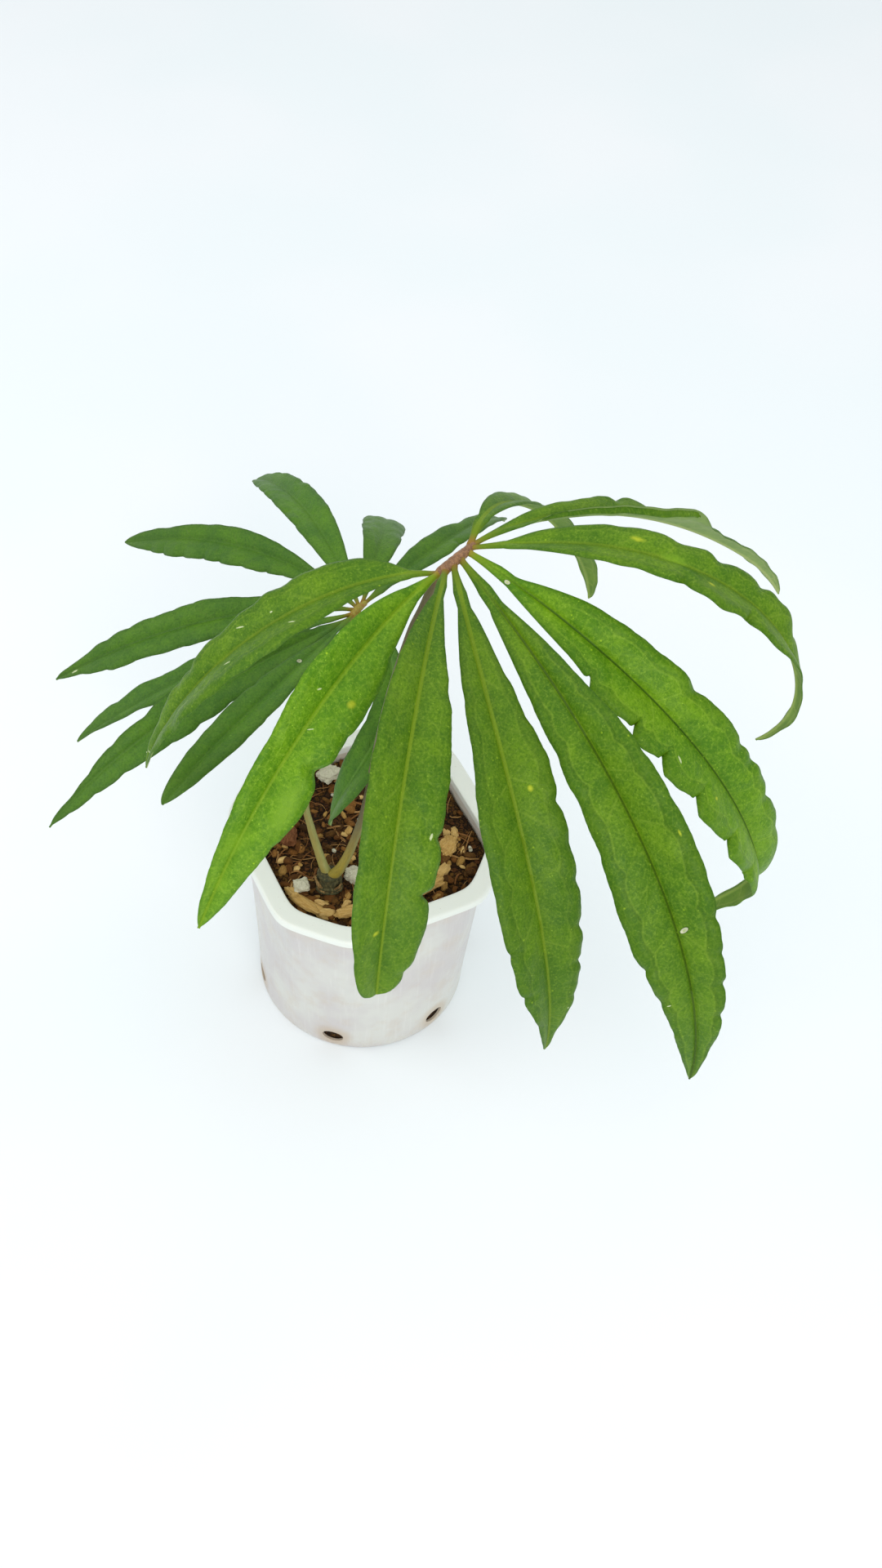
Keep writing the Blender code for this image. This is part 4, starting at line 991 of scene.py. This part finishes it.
def make_stem_base():
    look = Look("stem_base_bark", 0.72, 0.3)
    pos = look.position()
    x, y, z = look.split(pos)
    wrap = look.noise(look.vec("MULTIPLY", pos, (1.0, 1.0, 0.35)), 0.9, 5.0, 0.7)
    ring = look.noise(look.vec("MULTIPLY", pos, (0.12, 0.12, 1.6)), 1.0, 3.0, 0.6)
    colour = look.ramp(wrap, [(0.30, tint(34, 32, 20)), (0.5, tint(70, 68, 40)),
                              (0.68, tint(116, 104, 66)), (0.8, tint(160, 140, 100))])
    colour = look.mix(look.mul(look.step(ring, 0.45, 0.62), 0.5), colour, tint(46, 54, 28))
    height = look.plus(look.mul(wrap, 1.6), look.mul(ring, 1.2))
    mat = look.done(colour, look.step(wrap, 0.3, 0.7, 0.6, 0.85), look.bump(height, 0.4, 0.9))
    rows, sides = 44, 56
    verts = []
    for i in range(rows):
        t = i / (rows - 1)
        z = STEM_FOOT_Z - 1.6 + (STEM_TOP_Z - STEM_FOOT_Z + 1.6) * t
        r = STEM_RADIUS * (1.0 - 0.16 * t) * (1.0 + 0.05 * math.cos(t * math.pi * 7.0))
        if t > 0.86:
            r *= math.sqrt(max(1.0 - ((t - 0.86) / 0.15) ** 2, 0.02))
        for k in range(sides):
            a = 2.0 * math.pi * k / sides
            spot = Vector((math.cos(a) * 1.6, math.sin(a) * 1.6, z * 0.34))
            k2 = 1.0 + 0.12 * noise.noise(spot) + 0.05 * noise.noise(spot * 3.1) \
                + 0.05 * abs(math.sin(z * 1.35 + 0.8 * math.sin(a)))
            verts.append((CROWN[0] + r * 1.10 * k2 * math.cos(a),
                          CROWN[1] + r * 0.92 * k2 * math.sin(a), z))
    faces = grid_faces(rows, sides, True)
    faces.append(tuple(range(sides))[::-1])
    faces.append(tuple(range((rows - 1) * sides, rows * sides)))
    ob = outward(new_object("stem_base_ringed", verts, faces, [mat], sharp=70))
    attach(ob, "root")
    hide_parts("stem_base")

    # dry papery sheaths wrapped round the crown
    look = Look("sheath_paper", 0.8, 0.2)
    pos = look.position()
    fibre = look.noise(look.vec("MULTIPLY", pos, (1.0, 1.0, 0.18)), 1.6, 4.0, 0.7)
    colour = look.ramp(fibre, [(0.28, tint(72, 52, 30)), (0.5, tint(132, 104, 62)),
                               (0.72, tint(186, 160, 108))])
    mat = look.done(colour, 0.85, look.bump(fibre, 0.3, 0.9))
    verts, faces = [], []
    for turn, height, wide, lean in ((215, 9.5, 1.5, 0.24), (318, 7.2, 1.2, 0.34), (86, 8.2, 1.4, 0.20)):
        base = len(verts)
        n_u, n_v = 14, 10
        for shell in (0.0, 0.22):
            for i in range(n_u):
                t = i / (n_u - 1)
                for j in range(n_v):
                    v = j / (n_v - 1) * 2 - 1
                    a = math.radians(turn) + v * wide * 0.5 * (1 - t * 0.86)
                    r = STEM_RADIUS * (0.99 + lean * t * t) - shell + 0.2 * math.sin(t * 5 + v * 3)
                    verts.append((CROWN[0] + r * 1.12 * math.cos(a), CROWN[1] + r * 0.94 * math.sin(a),
                                  STEM_FOOT_Z - 0.6 + height * t - 0.5 * v * v))
        m = n_u * n_v
        outer = grid_faces(n_u, n_v, False, base)
        inner = [f[::-1] for f in grid_faces(n_u, n_v, False, base + m)]
        rim = [base + j for j in range(n_v)] + [base + i * n_v + n_v - 1 for i in range(1, n_u)] \
            + [base + (n_u - 1) * n_v + j for j in range(n_v - 2, -1, -1)] \
            + [base + i * n_v for i in range(n_u - 2, 0, -1)]
        faces += outer + inner
        for a, b in zip(rim, rim[1:] + rim[:1]):
            faces.append((b, a, a + m, b + m))
    ob = outward(new_object("crown_sheaths", verts, faces, [mat], sharp=60))
    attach(ob, "root")


# ------------------------------------------------------------------------- pot
def rim_radius(theta, half, cut):
    diag = (2.0 * half - cut) / math.sqrt(2.0)
    total = 0.0
    for k in range(8):
        side = half if k % 2 == 0 else diag
        c = math.cos(theta - k * math.pi / 4.0) / side
        if c > 0.0:
            total += c ** ROUNDNESS
    return total ** (-1.0 / ROUNDNESS)


def pot_ring(z, grow, count, squareness=None):
    share = min(max(z / (POT_HEIGHT - 6.0), 0.0), 1.0) if squareness is None else squareness
    share = share * share * (3.0 - 2.0 * share) * 0.45 + share * 0.55
    turn = math.radians(POT_TURN)
    ring = []
    for k in range(count):
        a = 2.0 * math.pi * k / count
        top = rim_radius(a, RIM_INNER / 2.0 + grow, RIM_CUT + 0.586 * grow)
        low = BASE_RADIUS - WALL + grow
        r = low + (top - low) * share
        ring.append((r * math.cos(a + turn), r * math.sin(a + turn), z))
    return ring


def pot_look():
    look = Look("pot_plastic", 0.36, 0.5)
    pos = look.position()
    x, y, z = look.split(pos)
    cloud = look.noise(pos, 0.030, 3.0, 0.6)
    blotch = look.noise(pos, 0.085, 3.0, 0.65)
    fine = look.noise(pos, 0.9, 3.0, 0.6)
    draw = look.noise(look.vec("MULTIPLY", pos, (1.0, 1.0, 0.04)), 0.7, 3.0, 0.6)
    wall = look.mix(look.step(cloud, 0.36, 0.64), tint(197, 192, 190), tint(207, 207, 200))
    wall = look.mix(look.mul(look.step(blotch, 0.46, 0.72), 0.35), wall, tint(196, 182, 164))
    # painted shade: a beige band on the wall under the lip, for the lip's shadow with the soil showing through the wall
    # behind it
    lip_shade = look.mul(look.step(z, 84.0, 99.0), look.step(z, 103.0, 101.5))
    wall = look.mix(look.mul(lip_shade, 0.30), wall, tint(214, 198, 172))
    wall = look.mix(look.mul(look.step(draw, 0.52, 0.75), 0.18), wall, tint(236, 234, 230))
    # painted light: the lip is painted lighter than the wall, as its top catches the light
    lit_lip = look.step(z, 101.6, 102.6)
    wall = look.mix(lit_lip, wall, tint(226, 230, 222))
    # darker brownish patches low on the wall, towards the foot
    foot = look.mul(look.step(z, 9.0, 0.0), look.step(fine, 0.4, 0.7))
    wall = look.mix(look.mul(foot, 0.28), wall, tint(176, 160, 134))
    # stain round each drain hole
    for k in range(DRAIN_COUNT):
        a = math.radians(DRAIN_FIRST + 360.0 * k / DRAIN_COUNT)
        centre = (BASE_RADIUS * math.cos(a), BASE_RADIUS * math.sin(a), DRAIN_Z)
        away = look.vec("DISTANCE", pos, centre)
        away = look.plus(away, look.mul(look.minus(blotch, 0.5), 5.0))
        wall = look.mix(look.mul(look.step(away, 11.5, 4.2), 0.58), wall, tint(180, 156, 122))
    grains = look.mul(look.step(look.noise(pos, 1.4, 2.0, 0.5), 0.70, 0.74), look.step(blotch, 0.5, 0.6))
    wall = look.mix(look.mul(grains, 0.4), wall, tint(150, 128, 100))
    scuff = look.noise(look.vec("MULTIPLY", pos, (0.5, 0.5, 2.0)), 1.8, 3.0, 0.7)
    rough = look.step(scuff, 0.45, 0.75, 0.30, 0.52)
    height = look.plus(look.mul(draw, 0.5), look.mul(fine, 0.25))
    look.shader.inputs["Subsurface Weight"].default_value = 0.18
    look.shader.inputs["Subsurface Radius"].default_value = (1.0, 0.9, 0.8)
    look.shader.inputs["Subsurface Scale"].default_value = 0.004
    return look.done(wall, rough, look.bump(height, 0.05, 0.8))


def make_pot():
    sides = 224
    under = POT_HEIGHT - LIP_THICK
    rings = []

    def add(z, grow, square=None):
        rings.append(pot_ring(z, grow, sides, square))

    add(0.0, -1.4)
    for k in range(5):
        a = math.pi / 2 * k / 4
        add(2.2 - 2.2 * math.cos(a), WALL - 1.4 + 1.4 * math.sin(a))
    for z in (3.6, 5.2, 7.0, 9.0, 11.0, 13.0, 15.0, 18.0, 22.0, 28.0, 36.0, 44.0, 52.0, 60.0, 68.0,
              76.0, 84.0, 90.0, 95.0, 98.0):
        add(z, WALL)
    add(under - 3.0, WALL, 1.0)
    add(under - 1.2, WALL + 0.1, 1.0)
    add(under - 0.3, WALL + 0.5, 1.0)
    add(under, WALL + 1.4, 1.0)
    add(under, LIP_WIDTH - 2.4, 1.0)
    add(under - 0.25, LIP_WIDTH - 1.5, 1.0)
    add(under - 0.9, LIP_WIDTH - 1.15, 1.0)
    add(POT_HEIGHT - SKIRT + 0.25, LIP_WIDTH - 1.05, 1.0)
    add(POT_HEIGHT - SKIRT, LIP_WIDTH - 0.85, 1.0)
    add(POT_HEIGHT - SKIRT, LIP_WIDTH - 0.25, 1.0)
    add(POT_HEIGHT - SKIRT + 0.25, LIP_WIDTH, 1.0)
    add(POT_HEIGHT - 1.9, LIP_WIDTH - 0.03, 1.0)
    for k in range(5):
        a = math.pi / 2 * k / 4
        add(POT_HEIGHT - 1.3 + 1.3 * math.sin(a), LIP_WIDTH - 1.4 + 1.3 * math.cos(a), 1.0)
    add(POT_HEIGHT - 0.05, LIP_WIDTH - 3.4, 1.0)
    add(POT_HEIGHT - 0.05, 2.2, 1.0)
    add(POT_HEIGHT, 1.2, 1.0)
    for k in range(1, 5):
        a = math.pi / 2 * k / 4
        add(POT_HEIGHT - 0.8 + 0.8 * math.cos(a), 0.8 - 0.8 * math.sin(a), 1.0)
    add(under - 3.0, 0.0, 1.0)
    for z in (96.0, 90.0, 80.0, 58.0, 36.0, 20.0, 15.0, 11.0, 7.0, 4.0):
        add(z, 0.0)
    add(FLOOR_THICK + 1.0, 0.0)
    add(FLOOR_THICK, -1.0)
    verts = [p for ring in rings for p in ring]
    n = len(rings)
    faces = grid_faces(n, sides, True)
    low = len(verts)
    verts += [(0.0, 0.0, 0.0), (0.0, 0.0, FLOOR_THICK)]
    last = (n - 1) * sides
    for k in range(sides):
        j = (k + 1) % sides
        faces.append((j, k, low))
        faces.append((last + k, last + j, low + 1))
    mat = pot_look()
    pot = outward(new_object("nursery_pot", verts, faces, [mat], sharp=38))

    bm = bmesh.new()
    for k in range(DRAIN_COUNT):
        a = math.radians(DRAIN_FIRST + 360.0 * k / DRAIN_COUNT)
        out = Vector((math.cos(a), math.sin(a), 0.0))
        side = Vector((-math.sin(a), math.cos(a), 0.0))
        loops = []
        for reach in (BASE_RADIUS - 5.0, BASE_RADIUS + 5.0):
            loop = []
            for i in range(36):
                b = 2.0 * math.pi * i / 36
                p = out * reach + side * (DRAIN_WIDE / 2 * math.cos(b))
                p.z = DRAIN_Z + DRAIN_TALL / 2 * math.sin(b)
                loop.append(bm.verts.new(p * MM))
            loops.append(loop)
        for i in range(36):
            j = (i + 1) % 36
            bm.faces.new((loops[0][i], loops[0][j], loops[1][j], loops[1][i]))
        bm.faces.new(loops[0])
        bm.faces.new(loops[1])
    bmesh.ops.recalc_face_normals(bm, faces=bm.faces)
    mesh = bpy.data.meshes.new("drain_cutter")
    bm.to_mesh(mesh)
    bm.free()
    cutter = bpy.data.objects.new("drain_cutter", mesh)
    bpy.context.scene.collection.objects.link(cutter)
    cut = pot.modifiers.new("drains", "BOOLEAN")
    cut.operation, cut.solver, cut.object = "DIFFERENCE", "EXACT", cutter
    bpy.context.view_layer.update()
    made = bpy.data.meshes.new_from_object(pot.evaluated_get(bpy.context.evaluated_depsgraph_get()))
    pot.modifiers.clear()
    pot.data = made
    bpy.data.objects.remove(cutter, do_unlink=True)
    made.set_sharp_from_angle(angle=math.radians(38))
    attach(pot, "root")
    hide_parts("pot")


# ------------------------------------------------------------------------ soil
def soil_height(x, y):
    r = math.hypot(x, y) / 46.0
    z = SOIL_EDGE_Z + SOIL_CROWN * (1.0 - min(r, 1.0) ** 2)
    return z + 0.45 * noise.noise(Vector((x * 0.11, y * 0.11, 3.7)))


def soil_top(x, y):
    """The seen surface: the mound, lumpy and open-textured."""
    z = soil_height(x, y)
    p = Vector((x * 0.30, y * 0.30, 1.3))
    z += 0.95 * noise.noise(p) + 0.65 * noise.noise(p * 2.3) + 0.35 * noise.noise(p * 5.1)
    return z - 0.5


def soil_look():
    look = Look("husk_mix_bed", 0.95, 0.2)
    pos = look.position()
    coarse = look.noise(pos, 0.16, 4.0, 0.65)
    fine = look.noise(pos, 1.1, 5.0, 0.75)
    chips = look.split(look.cells(pos, 0.42, out="Color"))[0]
    edge = look.cells(pos, 0.42, feature="DISTANCE_TO_EDGE")
    colour = look.ramp(look.plus(look.mul(coarse, 0.55), look.mul(fine, 0.45)),
                       [(0.34, tint(24, 13, 4)), (0.47, tint(54, 32, 10)), (0.56, tint(96, 64, 22)),
                        (0.66, tint(138, 100, 42)), (0.78, tint(174, 138, 76))])
    colour = look.mix(look.mul(look.step(chips, 0.55, 0.95), 0.45), colour, tint(120, 72, 36))
    # painted shade: the gaps between chips are painted near black
    colour = look.mix(look.step(edge, 0.10, 0.0), colour, tint(18, 9, 5))
    height = look.plus(look.mul(fine, 1.4), look.mul(look.step(edge, 0.0, 0.2), 1.2))
    return look.done(colour, look.step(fine, 0.3, 0.8, 0.85, 1.0), look.bump(height, 0.7, 1.0))


def make_soil():
    sides = 160
    floor_z = FLOOR_THICK + GAP
    rings = [pot_ring(floor_z, -1.4 - GAP, sides), pot_ring(floor_z + 1.4, -GAP - 0.15, sides)]
    rings += [pot_ring(z, -GAP - 0.1, sides) for z in (16.0, 36.0, 58.0, 80.0, 92.0)]
    rings += [pot_ring(96.4, -GAP - 0.1, sides)]
    rim = pot_ring(98.0, -GAP - 0.1, sides)
    shares = [1.0 - 0.992 * (k / 57.0) ** 1.0 for k in range(58)]
    for share in [0.996] + [s * 0.985 for s in shares]:
        ring = []
        for x, y, _ in rim:
            x, y = x * share, y * share
            ring.append((x, y, soil_top(x, y) - (0.9 if share == 0.996 else 0.0)))
        rings.append(ring)
    verts = [p for ring in rings for p in ring]
    faces = grid_faces(len(rings), sides, True)
    faces.append(tuple(range(sides))[::-1])
    faces.append(tuple(range((len(rings) - 1) * sides, len(rings) * sides)))
    ob = outward(new_object("husk_bed", verts, faces, [soil_look()], sharp=75))
    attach(ob, "root")
    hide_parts("soil")


def chip_look(name, low, mid, high, stretch=(1.0, 1.0, 1.0), rough=0.9):
    look = Look(name, rough, 0.2)
    place = look.attribute("place")
    tone = look.split(place)[2]
    pos = look.position()
    own = look.vec("MULTIPLY", place, (1.0, 1.0, 0.0))
    grainy = look.noise(look.vec("MULTIPLY", own, stretch), 1.1, 5.0, 0.72)
    fine = look.noise(pos, 2.6, 4.0, 0.7)
    value = look.plus(look.plus(look.mul(grainy, 0.55), look.mul(fine, 0.20)), look.mul(tone, 0.30))
    colour = look.ramp(value, [(0.28, low), (0.52, mid), (0.76, high)])
    return look.done(colour, look.step(fine, 0.2, 0.8, rough - 0.1, 1.0),
                     look.bump(look.plus(grainy, look.mul(fine, 0.5)), 0.45, 1.0))


def inside_rim(x, y, room):
    """Whether a place is inside the wall by at least that room, in mm."""
    a = math.atan2(y, x) - math.radians(POT_TURN)
    return math.hypot(x, y) + room < rim_radius(a, RIM_INNER / 2.0, RIM_CUT)


def near_stem(x, y, room):
    return math.hypot((x - CROWN[0]) / 1.1, (y - CROWN[1]) / 0.95) < STEM_RADIUS + room


def rocks(name, items, mat, level, replaced=None):
    """Broken pieces: x, y, z, radii, turn, seed and tone of each."""
    verts, faces, attr = [], [], []
    bm = bmesh.new()
    bmesh.ops.create_icosphere(bm, subdivisions=level, radius=1.0)
    ball = [v.co.copy() for v in bm.verts]
    tris = [tuple(v.index for v in f.verts) for f in bm.faces]
    bm.free()
    for x, y, z, rx, ry, rz, turn, seed, tone, crag in items:
        at = len(verts)
        shift = Vector((seed * 3.1, seed * 1.7, seed * 0.9))
        for co in ball:
            k = 1.0 + crag * 0.34 * noise.noise(co * 1.5 + shift) \
                + crag * 0.16 * noise.noise(co * 3.9 + shift) + crag * 0.07 * noise.noise(co * 9.0 + shift)
            # flats, as on something broken
            box = max(abs(co.x), abs(co.y), abs(co.z))
            k *= 0.72 + 0.28 * (0.66 / max(box, 0.3))
            p = Vector((co.x * rx * k, co.y * ry * k, co.z * rz * k))
            q = turn @ p
            verts.append((x + q.x, y + q.y, z + q.z))
            attr.append((co.x * rx + seed * 5.0, co.y * ry + co.z * rz, tone))
        faces += [tuple(i + at for i in f) for f in tris]
    ob = new_object(name, verts, faces, [mat], sharp=48 if level < 4 else None, attrs={"place": attr})
    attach(ob, "root")
    if replaced:
        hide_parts(replaced)
    return ob


def yaw_pitch(yaw, pitch=0.0, roll=0.0):
    return (Matrix.Rotation(math.radians(yaw), 3, "Z") @ Matrix.Rotation(math.radians(pitch), 3, "Y")
            @ Matrix.Rotation(math.radians(roll), 3, "X"))


def make_mix_pieces():
    husk = chip_look("husk_chunks", tint(112, 76, 30), tint(182, 144, 78), tint(222, 190, 126), (0.25, 1.6, 1.0))
    bark = chip_look("bark_chunks", tint(50, 26, 14), tint(104, 62, 34), tint(150, 104, 66), (0.4, 1.4, 1.0))
    dark = chip_look("dark_chips", tint(28, 16, 6), tint(70, 44, 15), tint(120, 84, 36), (0.4, 1.4, 1.0))
    red = chip_look("red_chips", tint(56, 30, 10), tint(108, 68, 26), tint(156, 112, 56), (0.4, 1.4, 1.0))
    pale = chip_look("pumice_grains", tint(150, 146, 124), tint(196, 192, 166), tint(226, 224, 204))
    kinds = {"husk": (husk, "husk_chip"), "bark": (bark, "bark_chip"), "pumice": (pale, "pumice")}
    for i, (name, x, y, rx, ry, rz, yaw, kind) in enumerate(LUMPS):
        mat, slot_name = kinds[kind]
        c, s = math.cos(math.radians(yaw)), math.sin(math.radians(yaw))
        foot = max(soil_height(x + a * c - b * s, y + a * s + b * c)
                   for a in (-rx, 0.0, rx) for b in (-ry, 0.0, ry)) + GAP
        items = [(x, y, foot + rz * 0.42, rx * 0.98, ry * 0.98, rz * 0.92,
                  yaw_pitch(yaw), 11 + i, 0.62, 1.0)]
        rocks(name + "_piece", items, mat, 5, name)

    rng = np.random.default_rng(77)

    def scatter(count, low, high, room, lift=0.15, flat=(0.45, 0.8), long=1.0, tries=40):
        out = []
        while len(out) < count and tries * count > 0:
            x, y = rng.uniform(-56, 56, 2)
            r = rng.uniform(low, high)
            if not inside_rim(x, y, room + r * 0.8) or near_stem(x, y, 0.4):
                continue
            ry = r * rng.uniform(0.45, 0.8) / long ** 0.5
            rz = r * rng.uniform(*flat) * 0.7
            out.append((x, y, soil_top(x, y) + rz * lift, r * long, ry, rz,
                        yaw_pitch(rng.uniform(0, 360), rng.uniform(-24, 24), rng.uniform(-24, 24)),
                        len(out) + rng.uniform(0, 30), rng.uniform(0, 1), rng.uniform(0.7, 1.2)))
        return out

    rocks("loose_chips_dark", scatter(170, 1.2, 3.4, 0.6), dark, 2)
    rocks("loose_chips_red", scatter(150, 1.2, 3.6, 0.6, lift=0.35), red, 2)
    front = [(x, y, soil_height(x, y) + 0.5, r, r * 0.5, r * 0.42, yaw_pitch(turn, 6), 40 + k, 0.8, 1.0)
             for k, (x, y, r, turn) in enumerate([
                 (-28.5, -34.5, 4.2, -40), (-12.5, -43.5, 5.0, 8), (5.5, -41.0, 4.6, 40), (14.5, -37.5, 5.4, 25),
                 (21.0, -32.0, 4.4, 50), (-15.5, -38.5, 3.4, -20), (35.0, -15.0, 5.0, 62), (30.5, -12.0, 3.6, 20),
                 (24.0, -18.5, 3.8, 75), (38.6, 6.5, 3.8, 96), (-5.0, -37.8, 3.2, 65)])
             if inside_rim(x, y, 3.0)]
    rocks("front_chips_tan", front, husk, 4)
    rocks("loose_chips_tan", scatter(90, 1.2, 3.0, 0.6, lift=0.5), husk, 2)
    rocks("loose_grains_pale", scatter(26, 0.7, 1.7, 1.0, lift=0.5, flat=(0.8, 1.0)), pale, 2)

    # splinters and coir threads
    verts, faces, attr = [], [], []
    threads = 0
    while threads < 190:
        x, y = rng.uniform(-56, 56, 2)
        length = rng.uniform(5.0, 15.0)
        heading = rng.uniform(0, 2 * math.pi)
        bend = rng.uniform(-0.12, 0.12)
        thick = rng.uniform(0.10, 0.22) if threads % 3 else rng.uniform(0.28, 0.55)
        steps = 12
        line = []
        px, py = x, y
        ok = True
        for k in range(steps + 1):
            if not inside_rim(px, py, 1.0) or near_stem(px, py, 0.2):
                ok = False
                break
            lift = 0.45 + 0.9 * math.sin(math.pi * k / steps) * (0.4 + (threads % 5) / 5.0)
            line.append((px, py, soil_top(px, py) + lift))
            px += length / steps * math.cos(heading)
            py += length / steps * math.sin(heading)
            heading += bend
        if not ok:
            continue
        pts = np.array(line)
        pts[1:-1] = (pts[:-2] + 2 * pts[1:-1] + pts[2:]) / 4
        radii = [thick * (0.35 + 0.65 * math.sin(math.pi * (0.12 + 0.76 * k / steps))) for k in range(steps + 1)]
        v, f, at = tube_mesh(pts, radii, 6)
        base = len(verts)
        verts += v
        faces += [tuple(i + base for i in face) for face in f]
        tone = rng.uniform(0.2, 1.0)
        attr += [(a[0] + threads * 3.0, a[1] * 4.0, tone) for a in at]
        threads += 1
    fibre = chip_look("coir_threads", tint(70, 40, 20), tint(146, 98, 52), tint(198, 158, 100), (0.3, 2.0, 1.0))
    ob = outward(new_object("coir_threads", verts, faces, [fibre], sharp=60, attrs={"place": attr}))
    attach(ob, "root")


# ----------------------------------------------------------------------- stage
def make_stage():
    look = Look("backdrop_paper", 0.9, 0.1)
    pos = look.position()
    cloud = look.noise(pos, 0.0035, 2.0, 0.5)
    colour = look.mix(look.step(cloud, 0.4, 0.62), (0.74, 0.79, 0.81), (0.77, 0.80, 0.82))
    look.feed(look.shader.inputs["Emission Color"], (0.93, 1.0, 1.0))
    look.shader.inputs["Emission Strength"].default_value = 0.10
    mat = look.done(colour)
    side = 6000.0
    floor = new_object("floor_sheet", [(-side, -side, -0.25), (side, -side, -0.25), (side, side, -0.25),
                                       (-side, side, -0.25)], [(0, 1, 2, 3)], [mat])

    world = bpy.data.worlds.new("studio")
    bpy.context.scene.world = world
    world.use_nodes = True
    back = world.node_tree.nodes["Background"]
    back.inputs["Color"].default_value = (0.97, 0.99, 1.0, 1.0)
    back.inputs["Strength"].default_value = 0.80

    def lamp(name, place, aim, size, power, colour=(1.0, 1.0, 1.0)):
        light = bpy.data.lights.new(name, "AREA")
        light.shape = "DISK"
        light.size = size
        light.energy = power
        light.color = colour
        ob = bpy.data.objects.new(name, light)
        bpy.context.scene.collection.objects.link(ob)
        ob.location = place
        ob.rotation_euler = (Vector(aim) - Vector(place)).to_track_quat("-Z", "Y").to_euler()

    lamp("key_left", (-1.05, -0.15, 1.25), (0.0, 0.0, 0.2), 0.9, 5.0)
    lamp("front_fill", (0.35, -1.35, 1.05), (0.0, 0.0, 0.2), 1.2, 11.0)
    lamp("top_fill", (0.25, 0.5, 1.9), (0.0, 0.0, 0.2), 1.6, 5.0)


def make_camera():
    pitch, roll = math.radians(50.0), math.radians(5.5)
    forward = Vector((0.0, math.cos(pitch), -math.sin(pitch)))
    up = Vector((0.0, math.sin(pitch), math.cos(pitch)))
    right = Vector((1.0, 0.0, 0.0))
    r = right * math.cos(roll) + up * math.sin(roll)
    u = up * math.cos(roll) - right * math.sin(roll)
    data = bpy.data.cameras.new("camera")
    data.lens = 37.5
    data.sensor_width = 36.0
    data.sensor_fit = "AUTO"
    data.clip_start, data.clip_end = 0.02, 50.0
    cam = bpy.data.objects.new("camera", data)
    bpy.context.scene.collection.objects.link(cam)
    place = Vector((30.558, -446.332, 672.712)) * MM
    cam.matrix_world = Matrix(((r.x, u.x, -forward.x, place.x), (r.y, u.y, -forward.y, place.y),
                               (r.z, u.z, -forward.z, place.z), (0.0, 0.0, 0.0, 1.0)))
    bpy.context.scene.camera = cam


# ------------------------------------------------------------------------ main
def main():
    scene = bpy.context.scene
    scene.view_settings.view_transform = "Standard"
    scene.view_settings.look = "None"
    make_camera()
    make_stage()
    make_pot()
    make_soil()
    make_mix_pieces()
    make_stem_base()
    hub_a, hub_b = 22.0, 12.0
    make_petiole("front_petiole", FRONT_STALK,
                 petiole_look("petiole_front", tint(146, 130, 48), tint(98, 88, 52), tint(134, 134, 86),
                              tint(152, 112, 76), hub_a, tint(112, 80, 56)),
                 FRONT_HUB_POINTS)
    make_petiole("back_petiole", BACK_STALK,
                 petiole_look("petiole_back", tint(140, 128, 62), tint(120, 116, 60), tint(146, 150, 90),
                              tint(150, 144, 48), hub_b, tint(148, 114, 40)),
                 BACK_HUB_POINTS)
    for i, row in enumerate(FRONT_LEAFLETS):
        make_leaflet(row, FRONT_STALK, FRONT_TONES, UNDER_FRONT, 300, 44, i + 1)
    for i, row in enumerate(BACK_LEAFLETS):
        make_leaflet(row, BACK_STALK, BACK_TONES, UNDER_BACK, 190, 32, i + 21,
                     size_class="back")


main()
